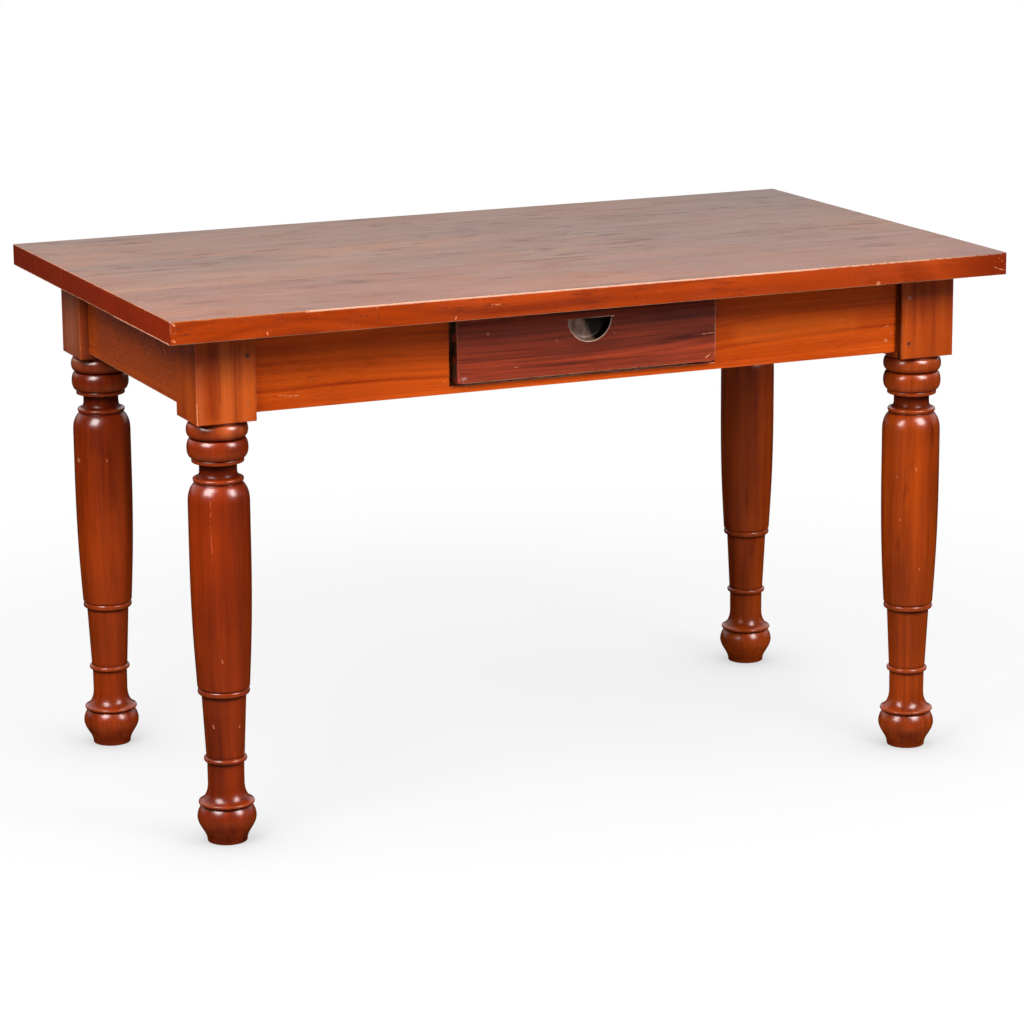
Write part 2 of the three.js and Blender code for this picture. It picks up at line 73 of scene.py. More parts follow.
# Two soft boxes stand in front, one on each side of the camera and well above it, and a pale
# room does the rest. Only two taller panels by them show in the polish, on every ring turned.
LIGHT_AIM = Vector((0, -0.1, 0.5))

def add_soft_box(name, azimuth, height, distance, size, power):
    """A lamp at an azimuth from the front, a height angle and a distance, aimed at the table."""
    raised = Matrix.Rotation(math.radians(-height), 3, "X") @ Vector((0, -1, 0))
    way = Matrix.Rotation(math.radians(azimuth), 3, "Z") @ raised
    data = bpy.data.lights.new(name, "AREA")
    data.shape = "RECTANGLE"
    data.size, data.size_y = size
    data.energy = power
    lamp = bpy.data.objects.new(name, data)
    bpy.context.scene.collection.objects.link(lamp)
    lamp.location = LIGHT_AIM + way * distance
    lamp.rotation_euler = way.to_track_quat("Z", "Y").to_euler()
    return lamp

for box in (
    add_soft_box("left_box", -59, 38, 2.3, (0.95, 0.95), 57),
    add_soft_box("right_box", 26, 38, 2.7, (1.1, 1.1), 75),
):
    box.visible_glossy = False
for panel in (
    add_soft_box("left_panel", -68, 33, 2.3, (0.95, 1.25), 62),
    add_soft_box("right_panel", 29, 33, 2.7, (1.1, 1.45), 82),
):
    panel.visible_diffuse = False

# The room: white where the camera looks, dimmer as the pale wall behind the table that the
# polish mirrors, and dark in front.
def add_node(tree, kind, **settings):
    """A shader node of a kind, with its settings."""
    made = tree.nodes.new("ShaderNode" + kind)
    for key, value in settings.items():
        setattr(made, key, value)
    return made

def feed(tree, socket, value):
    """Puts a number, a colour or another node's output into a socket."""
    if isinstance(value, bpy.types.NodeSocket):
        tree.links.new(value, socket)
    else:
        socket.default_value = value

def fill(tree, sockets, **values):
    """Feeds sockets by name, with _ for a space."""
    for label, value in values.items():
        feed(tree, sockets[label.replace("_", " ")], value)

def calc(tree, operation, first, second=0.0, clamp=False):
    """One step of arithmetic between two values."""
    made = add_node(tree, "Math", operation=operation, use_clamp=clamp)
    feed(tree, made.inputs[0], first)
    feed(tree, made.inputs[1], second)
    return made.outputs[0]

def plus(tree, first, second, clamp=False):
    return calc(tree, "ADD", first, second, clamp)

def minus(tree, first, second, clamp=False):
    return calc(tree, "SUBTRACT", first, second, clamp)

def times(tree, first, second):
    return calc(tree, "MULTIPLY", first, second)

def ramp(tree, value, low, high, start=0.0, end=1.0):
    """Eases a value from start to end as it goes from low to high."""
    made = add_node(tree, "MapRange", interpolation_type="SMOOTHSTEP")
    for socket, number in zip(made.inputs, (value, low, high, start, end)):
        feed(tree, socket, number)
    return made.outputs[0]

def vector_step(tree, operation, first, second=(0, 0, 0)):
    """One step of arithmetic between two vectors."""
    made = add_node(tree, "VectorMath", operation=operation)
    feed(tree, made.inputs[0], first)
    feed(tree, made.inputs[1], second)
    return made.outputs["Value" if operation in ("LENGTH", "DOT_PRODUCT") else "Vector"]

def axes(tree, vector):
    """A vector's three parts."""
    made = add_node(tree, "SeparateXYZ")
    tree.links.new(vector, made.inputs[0])
    return made.outputs

def blend(tree, share, first, second):
    """A blend of two values."""
    made = add_node(tree, "Mix")
    for label, value in zip(("Factor", "A", "B"), (share, first, second)):
        feed(tree, made.inputs[label], value)
    return made.outputs["Result"]

def start_nodes(owner):
    """The emptied node tree of a world or a material, and what its rays are."""
    owner.use_nodes = True
    owner.node_tree.nodes.clear()
    return owner.node_tree, add_node(owner.node_tree, "LightPath").outputs

room = bpy.data.worlds.new("room")
bpy.context.scene.world = room
tree, rays = start_nodes(room)
way = add_node(tree, "TexCoord").outputs["Generated"]
facing = vector_step(tree, "DOT_PRODUCT", way, (0.4, 0.92, 0))
behind = ramp(tree, facing, -0.1, 0.6, 0.02, 1.0)
above = ramp(tree, axes(tree, way)["Z"], 0.02, 0.21, 0.03, 0.94)
mirrored = blend(tree, rays["Is Glossy Ray"], 0.16, times(tree, behind, above))
glow = add_node(tree, "Background")
fill(tree, glow.inputs, Color=(1, 1, 1, 1))
tree.links.new(blend(tree, rays["Is Camera Ray"], mirrored, 1.0), glow.inputs["Strength"])
tree.links.new(glow.outputs["Background"], add_node(tree, "OutputWorld").inputs["Surface"])

# The floor: a sheet of pale paper. The camera sees it as white, greyer where the table keeps the
# room's light off it, with a little of the lamps' own shadow.
def start_piece(add, name, **settings):
    """A new primitive by itself, with its size and place put into its mesh."""
    bpy.ops.object.select_all(action="DESELECT")
    add(**settings)
    bpy.ops.object.transform_apply(location=True, rotation=True, scale=True)
    made = bpy.context.object
    made.name = name
    made.data.name = name
    return made

floor = start_piece(bpy.ops.mesh.primitive_plane_add, "floor", size=4.4, location=(0.3, 0.3, 0))
paper = bpy.data.materials.new("floor_paper")
tree, rays = start_nodes(paper)
sheet = add_node(tree, "BsdfDiffuse")
fill(tree, sheet.inputs, Color=(0.78, 0.777, 0.775, 1))
# How open the floor is: what stands within each reach of it, and how dark it gets there.
openness = 1.0
for reach, darkest in ((0.82, 0.75), (0.16, 0.7)):
    occlusion = add_node(tree, "AmbientOcclusion")
    occlusion.inputs["Distance"].default_value = reach
    light = plus(tree, darkest, times(tree, occlusion.outputs["AO"], 1 - darkest))
    openness = times(tree, openness, light)
shine = add_node(tree, "Emission")
tree.links.new(openness, shine.inputs["Strength"])
away = vector_step(tree, "LENGTH", add_node(tree, "TexCoord").outputs["Object"])
white_share = times(tree, rays["Is Camera Ray"], ramp(tree, away, 0.9, 1.9, 0.9, 1.0))
dim = add_node(tree, "BsdfDiffuse")
fill(tree, dim.inputs, Color=(0.1, 0.035, 0.006, 1))
dim_share = plus(tree, rays["Is Glossy Ray"], times(tree, rays["Is Diffuse Ray"], 0.45))
surface = sheet.outputs["BSDF"]
for share, layer in ((white_share, shine.outputs["Emission"]), (dim_share, dim.outputs["BSDF"])):
    mix = add_node(tree, "MixShader")
    for socket, value in zip(mix.inputs, (share, surface, layer)):
        tree.links.new(value, socket)
    surface = mix.outputs["Shader"]
tree.links.new(surface, add_node(tree, "OutputMaterial").inputs["Surface"])
floor.data.materials.append(paper)


# The top: three hardwood boards glued edge to edge, polished, with the long edges eased and
# worn by hands. Wood and wear are node groups, which every other piece uses with its own values.
def noise(tree, place, scale, detail=2.0, roughness=0.5):
    """Cloudy values about a half, drawn out by a scale for each axis."""
    stretched = vector_step(tree, "MULTIPLY", place, scale)
    made = add_node(tree, "TexNoise")
    fill(tree, made.inputs, Vector=stretched, Scale=1.0, Detail=detail, Roughness=roughness)
    return made.outputs["Fac"]

def blend_colour(tree, share, first, second, way="MIX"):
    """A blend of two colours."""
    made = add_node(tree, "Mix", data_type="RGBA", blend_type=way)
    feed(tree, made.inputs["Factor"], share)
    feed(tree, made.inputs[6], first)
    feed(tree, made.inputs[7], second)
    return made.outputs[2]

def new_group(name, inputs, outputs):
    """An empty shader node group, from its inputs' usual values and its outputs' names."""
    group = bpy.data.node_groups.new(name, "ShaderNodeTree")
    for label, value in inputs.items():
        kind = "Float" if isinstance(value, float) else {3: "Vector", 4: "Color"}[len(value)]
        socket = group.interface.new_socket(label, in_out="INPUT", socket_type="NodeSocket" + kind)
        socket.default_value = value
    for label in outputs:
        kind = "Color" if label == "Colour" else "Float"
        group.interface.new_socket(label, in_out="OUTPUT", socket_type="NodeSocket" + kind)
    return group, group.nodes.new("NodeGroupInput").outputs, group.nodes.new("NodeGroupOutput").inputs

def use_group(tree, group, **values):
    """Places a node group and fills its inputs."""
    made = add_node(tree, "Group", node_tree=group)
    fill(tree, made.inputs, **values)
    return made.outputs

def shade(*parts):
    """A colour as it is seen on a screen, from 0 to 255 for each part."""
    parts = [part / 255 for part in parts]
    linear = [part / 12.92 if part < 0.04045 else ((part + 0.055) / 1.055) ** 2.4 for part in parts]
    return (*linear, 1)

# Wood with its grain along the place's X: growth rings round a heart, long streaks, fine
# fibres, soft clouds, dark flecks and short dark pores.
wood, given, result = new_group(
    "wood_figure",
    {
        "Place": (0, 0, 0), "Pale": (0.3, 0.1, 0.03, 1), "Dark": (0.1, 0.03, 0.01, 1),
        "Heart": (0, 0.06, -0.08), "Rings": 0.5, "Streaks": 0.5, "Fibres": 0.35, "Clouds": 0.4,
        "Pores": 0.4, "Flecks": 0.0,
    },
    ("Colour", "Tone", "Height", "Fleck"),
)
place = given["Place"]
wander = times(wood, minus(wood, noise(wood, place, (1.6, 5, 5), 1), 0.5), 0.05)
bent = vector_step(wood, "ADD", place, given["Heart"])
bent = vector_step(wood, "MULTIPLY", bent, (0.04, 1, 1))
distance = plus(wood, vector_step(wood, "LENGTH", bent), wander)
ring_noise = add_node(wood, "TexNoise", noise_dimensions="1D")
fill(wood, ring_noise.inputs, W=times(wood, distance, 190.0), Scale=1.0, Detail=2.0)
rings = minus(wood, ring_noise.outputs["Fac"], 0.5)
streaks = minus(wood, noise(wood, place, (1.3, 60, 60), 3, 0.6), 0.5)
fibres = minus(wood, noise(wood, place, (7, 480, 480), 3, 0.6), 0.5)
clouds = minus(wood, noise(wood, place, (2.6, 5.5, 5.5), 3, 0.5), 0.5)
flecks = ramp(wood, noise(wood, place, (12, 52, 52), 2, 0.55), 0.3, 0.46, 1, 0)
flecks = times(wood, flecks, ramp(wood, noise(wood, place, (3, 6, 6), 1), 0.4, 0.6))
tone = times(wood, rings, given["Rings"])
for label, figure in (("Streaks", streaks), ("Fibres", fibres), ("Clouds", clouds)):
    tone = plus(wood, tone, times(wood, figure, given[label]))
tone = minus(wood, tone, times(wood, flecks, given["Flecks"]))
tone = plus(wood, times(wood, tone, 2.0), 0.5, clamp=True)
pores = ramp(wood, noise(wood, place, (48, 640, 640), 1), 0.6, 0.7)
pores = times(wood, pores, ramp(wood, noise(wood, place, (9, 22, 22), 2), 0.42, 0.62))
pore_share = times(wood, pores, given["Pores"])
colour = blend_colour(wood, tone, given["Dark"], given["Pale"])
fill(
    wood, result, Colour=blend_colour(wood, pore_share, colour, (0.02, 0.008, 0.004, 1)),
    Tone=times(wood, tone, minus(wood, 1.0, pore_share)),
    Height=minus(wood, times(wood, fibres, 0.6), pores), Fleck=flecks,
)

# Wear along the edges of a squared piece: strong within a reach of an edge, broken by chance.
wear, given, result = new_group(
    "edge_wear",
    {"Place": (0, 0, 0), "Middle": (0, 0, 0), "Half": (1, 1, 1), "Reach": 0.004},
    ("Worn", "Up"),
)
offset = vector_step(wear, "SUBTRACT", given["Place"], given["Middle"])
depth = vector_step(wear, "SUBTRACT", given["Half"], vector_step(wear, "ABSOLUTE", offset))
depth_x, depth_y, depth_z = axes(wear, depth)
low = calc(wear, "MINIMUM", depth_x, depth_y)
high = calc(wear, "MAXIMUM", depth_x, depth_y)
second = calc(wear, "MAXIMUM", low, calc(wear, "MINIMUM", high, depth_z))
ragged = noise(wear, given["Place"], (45, 45, 45), 5, 0.7)
reach = times(wear, given["Reach"], ramp(wear, ragged, 0.34, 0.72, 0.02, 1.5))
within = calc(wear, "GREATER_THAN", calc(wear, "MINIMUM", low, depth_z), -0.002)
worn = minus(wear, 1.0, calc(wear, "DIVIDE", second, reach), clamp=True)
up = ramp(wear, axes(wear, offset)["Z"], -0.004, 0.006)
fill(wear, result, Worn=times(wear, worn, within), Up=up)

# Small pale nicks scattered by chance, a few millimetres long.
nicks, given, result = new_group(
    "pale_nicks",
    {"Place": (0, 0, 0), "Share": 0.2},
    ("Nick",),
)
shaky = add_node(nicks, "TexNoise")
fill(nicks, shaky.inputs, Vector=given["Place"], Scale=160)
shift = vector_step(nicks, "MULTIPLY", shaky.outputs["Color"], (0.004, 0.004, 0.004))
shift = vector_step(nicks, "ADD", given["Place"], shift)
cells = add_node(nicks, "TexVoronoi", feature="F1")
fill(nicks, cells.inputs, Vector=shift, Scale=30)
picked = calc(nicks, "LESS_THAN", axes(nicks, cells.outputs["Color"])[0], given["Share"])
spot = calc(nicks, "LESS_THAN", cells.outputs["Distance"], 0.1)
fill(nicks, result, Nick=times(nicks, picked, spot))

# One mark, as an uneven line between two places: a scratch, stain or nick, or painted shade or a
# painted highlight.
mark_group, given, result = new_group(
    "mark_line",
    {
        "Place": (0, 0, 0), "From": (0, 0, 0), "To": (0, 0, 1), "Width": 0.0006, "Wobble": 0.005,
        "Breaks": 1.0,
    },
    ("Mark",),
)
waver = add_node(mark_group, "TexNoise")
fill(mark_group, waver.inputs, Vector=given["Place"], Scale=120, Detail=3.0)
shift = vector_step(mark_group, "SUBTRACT", waver.outputs["Color"], (0.5, 0.5, 0.5))
shift = vector_step(mark_group, "MULTIPLY", shift, given["Wobble"])
start = vector_step(mark_group, "ADD", given["Place"], shift)
start = vector_step(mark_group, "SUBTRACT", start, given["From"])
whole = vector_step(mark_group, "SUBTRACT", given["To"], given["From"])
along = vector_step(mark_group, "DOT_PRODUCT", start, whole)
share = calc(mark_group, "DIVIDE", along, vector_step(mark_group, "DOT_PRODUCT", whole, whole), clamp=True)
off = vector_step(mark_group, "SUBTRACT", start, vector_step(mark_group, "MULTIPLY", whole, share))
broken = noise(mark_group, given["Place"], (210, 210, 210), 3, 0.6)
broken = times(mark_group, ramp(mark_group, broken, 0.35, 0.6, -0.85, 0.2), given["Breaks"])
width = times(mark_group, given["Width"], plus(mark_group, broken, 1.0))
line = calc(mark_group, "DIVIDE", vector_step(mark_group, "LENGTH", off), width)
fill(mark_group, result, Mark=minus(mark_group, 1.2, line, clamp=True))

# The polish: clear where it is whole, dull where it is rubbed, over slightly uneven wood.
polish, given, result = new_group(
    "old_polish",
    {"Place": (0, 0, 0), "Clear": 0.25, "Dull": 0.45, "Rubbed": 0.0},
    ("Roughness", "Wave"),
)
patches = ramp(polish, noise(polish, given["Place"], (9, 16, 16), 4, 0.6), 0.35, 0.7)
smears = ramp(polish, noise(polish, given["Place"], (60, 260, 260), 3, 0.6), 0.4, 0.75)
dull = plus(polish, times(polish, patches, 0.55), times(polish, smears, 0.3))
dull = calc(polish, "MAXIMUM", dull, given["Rubbed"], clamp=True)
gap = minus(polish, given["Dull"], given["Clear"])
fill(
    polish, result, Roughness=plus(polish, given["Clear"], times(polish, dull, gap)),
    Wave=noise(polish, given["Place"], (14, 40, 40), 2),
)

# What a wood's look leaves out is taken from here. Sizes are in metres, colours as on a screen.
PLAIN_LOOK = {
    "heart": (0, 0.06, -0.08), "rings": 0.5, "streaks": 0.6, "fibres": 0.35, "clouds": 0.4,
    "pores": 0.4, "flecks": 0.0, "reach": 0.003, "worn": 0.5, "worn_above": False, "nicks": 0.05,
    "raw": (196, 128, 88), "marks": (), "clear": 0.22, "dull": 0.34, "bump": 0.35,
    "specular": 0.15, "coat": 1.0, "coat_ior": 1.5, "coat_rough": 0.15,
}
GRAIN_TURNS = {"x": (0, 0, 0), "y": (0, 0, -math.pi / 2), "z": (0, math.pi / 2, 0)}
BUMP_DEPTH = 0.0006

def make_wood(name, low, high, grain, seed, look):
    """A polished wood for one piece between two corners, with its grain along an axis."""
    look = {**PLAIN_LOOK, **look}
    made = bpy.data.materials.new(name)
    made.use_nodes = True
    tree = made.node_tree
    shader = tree.nodes["Principled BSDF"]
    spot = add_node(tree, "TexCoord").outputs["Object"]
    sides = axes(tree, spot)
    along = add_node(tree, "Mapping")
    chance = random.Random(seed)
    shift = [chance.uniform(-9, 9) for axis in range(3)]
    fill(tree, along.inputs, Vector=spot, Location=shift, Rotation=GRAIN_TURNS[grain])
    place = along.outputs["Vector"]
    parts = ("heart", "rings", "streaks", "fibres", "clouds", "pores", "flecks")
    figure = use_group(
        tree, wood, Place=place, Pale=shade(*look["pale"]), Dark=shade(*look["dark"]),
        **{part.capitalize(): look[part] for part in parts},
    )

    def two_tone(pale, dark):
        return blend_colour(tree, figure["Tone"], shade(*dark), shade(*pale))

    middle = [(a + b) / 2 for a, b in zip(low, high)]
    half = [(b - a) / 2 for a, b in zip(low, high)]
    edges = use_group(tree, wear, Place=spot, Middle=middle, Half=half, Reach=look["reach"])
    rubbed = times(tree, edges["Worn"], look["worn"])
    if look["worn_above"]:
        rubbed = times(tree, rubbed, edges["Up"])
    nick = use_group(tree, nicks, Place=place, Share=look["nicks"])["Nick"]
    marked = calc(tree, "MAXIMUM", rubbed, times(tree, nick, 0.6))
    colour = figure["Colour"]
    if "faded" in look:
        fade = ramp(tree, sides["Z"], high[2] - 0.003, high[2] - 0.0005)
        dull_flecks = times(tree, times(tree, figure["Fleck"], fade), 0.12)
        colour = blend_colour(tree, fade, colour, two_tone(*look["faded"]))
    if "turned" in look:
        fade = ramp(tree, sides["Z"], low[2] - 0.004, low[2], 1.0, 0.0)
        colour = blend_colour(tree, fade, colour, two_tone(*look["turned"]))
    if "end_grain" in look:
        axis = "xyz".index(grain)
        out = calc(tree, "ABSOLUTE", minus(tree, sides[axis], middle[axis]))
        fade = ramp(tree, out, half[axis] - 0.0012, half[axis] - 0.0003)
        plain = blend_colour(tree, 0.6, colour, shade(*look["pale"]))
        plain = blend_colour(tree, 1.0, plain, shade(*look["end_grain"]), "MULTIPLY")
        colour = blend_colour(tree, fade, colour, plain)
        end_gloss = minus(tree, 1.0, times(tree, fade, 0.5))
    if "bare_face" in look:
        axis, plane = look["bare_face"]
        off = calc(tree, "ABSOLUTE", minus(tree, sides[axis], plane))
        bare_share = ramp(tree, off, 0.0003, 0.0008, 1.0, 0.0)
        bare = two_tone((146, 106, 72), (98, 64, 40))
        colour = blend_colour(tree, bare_share, colour, bare)
        if look["coat"] > 0:
            tree.links.new(minus(tree, 1.0, bare_share), shader.inputs["Coat Weight"])
    if "hollow" in look:
        # Hollows of the turning darken with dirt and painted shade; ridges get pale wear and a painted
        # highlight.
        relief = add_node(tree, "Attribute", attribute_name="relief").outputs["Fac"]
        dirt_and_shade = times(tree, ramp(tree, relief, -2.4, -0.2, 1.0, 0.0), look["hollow"])
        colour = blend_colour(tree, dirt_and_shade, colour, shade(40, 10, 2))
        ring_wear_and_highlight = ramp(tree, relief, 0.5, 1.8, 0.0, 0.14)
        colour = blend_colour(tree, ring_wear_and_highlight, colour, shade(196, 98, 50))
        tree.links.new(minus(tree, 1.0, dirt_and_shade), shader.inputs["Coat Weight"])
    colour = blend_colour(tree, marked, colour, shade(*look["raw"]))
    for stain, width, start, end, wobble, *soft in look["marks"]:
        breaks, strength = soft or (1.0, 1.0)
        line = use_group(
            tree, mark_group, Place=spot, From=[value * MILLIMETRE for value in start],
            To=[value * MILLIMETRE for value in end], Width=width * MILLIMETRE,
            Wobble=wobble * MILLIMETRE, Breaks=breaks,
        )["Mark"]
        colour = blend_colour(tree, times(tree, line, strength), colour, shade(*stain))
        if breaks > 0:
            marked = calc(tree, "MAXIMUM", marked, line)
    surface = use_group(
        tree, polish, Place=place, Clear=look["clear"], Dull=look["dull"], Rubbed=marked,
    )
    height = plus(tree, times(tree, figure["Height"], 0.2), surface["Wave"])
    bump = add_node(tree, "Bump")
    fill(tree, bump.inputs, Strength=look["bump"], Distance=BUMP_DEPTH, Height=height)
    rough = surface["Roughness"]
    if "faded" in look:
        rough = plus(tree, rough, dull_flecks)
    if "end_grain" in look:
        rough = times(tree, rough, end_gloss)
    if "bare_face" in look:
        rough = plus(tree, rough, times(tree, bare_share, 0.4), clamp=True)
    fill(
        tree, shader.inputs, Base_Color=colour, Roughness=rough, Normal=bump.outputs["Normal"],
        Specular_IOR_Level=look["specular"], Coat_IOR=look["coat_ior"],
        Coat_Roughness=look["coat_rough"],
    )
    shader.inputs["Coat Weight"].default_value = look["coat"]
    return made

def start_box(name, low, high):
    """A new block of wood between two corners, to be shaped."""
    middle = [(a + b) / 2 for a, b in zip(low, high)]
    size = [b - a for a, b in zip(low, high)]
    return start_piece(bpy.ops.mesh.primitive_cube_add, name, size=1, location=middle, scale=size)

def pick(piece):
    """Selects one piece alone."""
    bpy.ops.object.select_all(action="DESELECT")
    piece.select_set(True)
    bpy.context.view_layer.objects.active = piece

def choose(piece, kind, test):
    """Goes into edit mode with only the edges or faces chosen whose middle passes a test."""
    pick(piece)
    bpy.ops.object.mode_set(mode="EDIT")
    bpy.ops.mesh.select_mode(type=kind)
    bpy.ops.mesh.select_all(action="DESELECT")
    mesh = bmesh.from_edit_mesh(piece.data)
    for part in mesh.edges if kind == "EDGE" else mesh.faces:
        corners = [vertex.co for vertex in part.verts]
        if test(sum(corners, Vector()) / len(corners)):
            part.select_set(True)
    mesh.select_flush_mode()
    bmesh.update_edit_mesh(piece.data)

def round_edges(piece, test, radius, steps=3):
    """Rounds the chosen edges of a piece."""
    choose(piece, "EDGE", test)
    bpy.ops.mesh.bevel(offset=radius, segments=steps, profile=0.5, affect="EDGES", clamp_overlap=True)
    bpy.ops.object.mode_set(mode="OBJECT")

def cut_with(piece, cutter, way="DIFFERENCE"):
    """Cuts a cutter out of a piece, or joins it on, and takes the cutter away."""
    pick(piece)
    saw = piece.modifiers.new("saw", "BOOLEAN")
    saw.operation = way
    saw.solver = "EXACT"
    saw.object = cutter
    bpy.ops.object.modifier_apply(modifier=saw.name)
    bpy.data.objects.remove(cutter)

def dress(piece, material):
    """Gives a piece its one material."""
    piece.data.materials.clear()
    piece.data.materials.append(material)

def finish_piece(piece, body, material, node, smooth=35):
    """Shades a finished piece, gives it its material, puts it under its body and hides the CAD part it
    stands for.
    """
    pick(piece)
    bpy.ops.object.shade_smooth_by_angle(angle=math.radians(smooth))
    even = piece.modifiers.new("even", "WEIGHTED_NORMAL")
    even.keep_sharp = True
    bpy.ops.object.modifier_apply(modifier=even.name)
    dress(piece, material)
    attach(piece, body)
    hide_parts(node)

# A mark's colour, width, one end and the other, wobble, and where they aren't 1 its breaks and
# strength. Marks are in millimetres, and those on an upright face have ends of X and Z alone.
MILLIMETRE = 0.001

def on_face(y, *marks):
    """Marks on an upright face at a place along Y."""
    return [
        (stain, width, (x1, y, z1), (x2, y, z2), *soft)
        for stain, width, (x1, z1), (x2, z2), *soft in marks
    ]

TOP_ARRIS = 0.0025
ARRIS_WEAR_AND_HIGHLIGHT = (238, 180, 150)
ARRIS_RED = (198, 96, 38)
NICK_PALE = (222, 150, 112)
DARK_SPECK = (58, 16, 4)
# Along the front arris: a pale line that is wear and partly a painted highlight, and a red one at the
# left end.
FRONT_ARRIS_MARKS = on_face(
    -369.3,
    (ARRIS_WEAR_AND_HIGHLIGHT, 1.7, (-455, 769.3), (330, 769.3), 0.6, 0.15, 1),
    (ARRIS_WEAR_AND_HIGHLIGHT, 1.3, (330, 769.3), (640, 769.3), 0.6, 0.5, 0.9),
    (ARRIS_RED, 1.2, (-645, 769.3), (-450, 769.3), 0.6, 0.3, 1),
)
FRONT_EDGE_MARKS = on_face(
    -370,
    ((104, 24, 0), 110, (644, 755), (660, 755), 0, 0, 0.75),
    (DARK_SPECK, 0.45, (-350.5, 768), (-349.5, 738), 1),
    (NICK_PALE, 0.8, (-351, 768), (-351, 765), 1),
    (NICK_PALE, 1.8, (-646.5, 768.5), (-644, 765), 3),
    (NICK_PALE, 0.7, (-641, 757), (-645, 753), 3),
    (NICK_PALE, 0.9, (-647, 745), (-643, 742), 3),
    (DARK_SPECK, 0.7, (-640, 760), (-618, 758), 4),
    (DARK_SPECK, 0.7, (-642, 750), (-622, 751), 4),
    (DARK_SPECK, 0.6, (-600, 757), (-588, 757), 3),
    (DARK_SPECK, 0.7, (-514, 751), (-494, 752), 3),
    (DARK_SPECK, 0.6, (-385, 757), (-362, 756), 3),
    (DARK_SPECK, 0.9, (-188, 757), (-158, 756), 4),
    (NICK_PALE, 0.5, (-180, 757), (-166, 756.5), 3),
    (DARK_SPECK, 0.8, (-62, 762), (-30, 761), 4),
    (NICK_PALE, 1, (-235, 741), (-234, 744), 1),
    (NICK_PALE, 0.8, (-512, 745), (-511, 742), 1),
    (NICK_PALE, 0.6, (430, 744), (436, 742), 2),
    (NICK_PALE, 0.8, (636, 763), (648, 752), 3),
    (NICK_PALE, 0.7, (628, 750), (646, 744), 3),
)
END_MARKS = (
    (ARRIS_RED, 0.8, (-649.7, -366, 769.7), (-649.7, 366, 769.7), 0.6, 0.4, 0.8),
    # A painted highlight: the pale line along the lower arris of the end.
    ((250, 190, 150), 1.2, (-649.7, -366, 738.4), (-649.7, 366, 738.4), 0.6, 0.3, 0.85),
)
BOARD_MARKS = {
    "front": (*FRONT_ARRIS_MARKS, *FRONT_EDGE_MARKS),
    "middle": (
        # Painted shade: a dark soft patch on the left, where the polish mirrors less light.
        ((56, 34, 24), 110, (-500, 90, 770), (-400, 70, 770), 40, 0, 0.4),
        (DARK_SPECK, 0.9, (-205, -118, 770), (150, -119, 770), 3),
        (DARK_SPECK, 1.4, (-232, 43, 770), (-218, 44, 770), 4),
        (DARK_SPECK, 1.4, (-228, -28, 770), (-212, -29, 770), 4),
    ),
}
TOP_LOOK = {
    "pale": (172, 61, 4), "dark": (116, 34, 0), "end_grain": (204, 166, 110), "fibres": 0.2,
    "streaks": 0.5, "heart": (0, 0.1, -0.15), "reach": 0.002, "worn": 0.45, "worn_above": True,
    "bump": 0.2, "coat": 0.0, "specular": 0.5, "clouds": 0.6, "pores": 0.7, "flecks": 0.22,
}
BOARD_LOOKS = {
    "front": {"faded": ((154, 80, 28), (96, 44, 14)), "clouds": 0.5, "pores": 0.6, "flecks": 0.16},
    "middle": {"faded": ((156, 88, 36), (92, 44, 18))},
    "rear": {"faded": ((154, 88, 40), (92, 46, 22)), "specular": 0.37},
}
NEAR_CORNER = 0.0015
FAR_CORNER = 0.004
END_ROUND = 0.0012
# Each chip's place, and the size and turn of the lump that knocks it off, in metres.
CORNER_CHIPS = (
    ((-0.6515, -0.3715, 0.7712), 0.0042, (0.3, 0.2, 0.5)),
    ((-0.6506, -0.3712, 0.7571), 0.0024, (0.9, 0.1, 0.2)),
    ((-0.6492, -0.3718, 0.7459), 0.003, (0.2, 0.7, 0.9)),
    ((-0.638, -0.3718, 0.7371), 0.0026, (0.5, 0.4, 0.1)),
    ((-0.511, -0.3716, 0.7369), 0.0024, (0.1, 0.9, 0.4)),
    ((0.6512, -0.3719, 0.7602), 0.0032, (0.6, 0.3, 0.8)),
)
SAME_PLACE = 0.00001
top_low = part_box("top_board_front")[0]
top_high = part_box("top_board_rear")[1]
for number, (part, look) in enumerate(BOARD_LOOKS.items()):
    low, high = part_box(f"top_board_{part}")
    board = start_box(f"top_{part}", low, high)
    edge_y = {"front": low.y, "rear": high.y}.get(part)
    if part == "front":
        for side, radius in ((-1, NEAR_CORNER), (1, FAR_CORNER)):
            corner = Vector((side * high.x, low.y))
            round_edges(board, lambda middle: (middle.xy - corner).length < SAME_PLACE, radius, 5)
    if edge_y is not None:
        round_edges(
            board, lambda middle: abs(middle.y - edge_y) < SAME_PLACE and abs(middle.x) < 0.1,
            TOP_ARRIS, 4,
        )
    round_edges(board, lambda middle: abs(abs(middle.x) - high.x) < SAME_PLACE, END_ROUND)
    if part == "front":
        for place, size, angle in CORNER_CHIPS:
            chip = start_piece(
                bpy.ops.mesh.primitive_ico_sphere_add, "chip", subdivisions=2, radius=size,
                location=place, rotation=angle,
            )
            cut_with(board, chip)
    look = {**TOP_LOOK, **look, "bare_face": (2, low.z)}
    look["marks"] = (*END_MARKS, *BOARD_MARKS.get(part, ()))
    material = make_wood(f"polished_top_{part}", top_low, top_high, "x", number, look)
    finish_piece(board, "table", material, f"top_board_{part}")


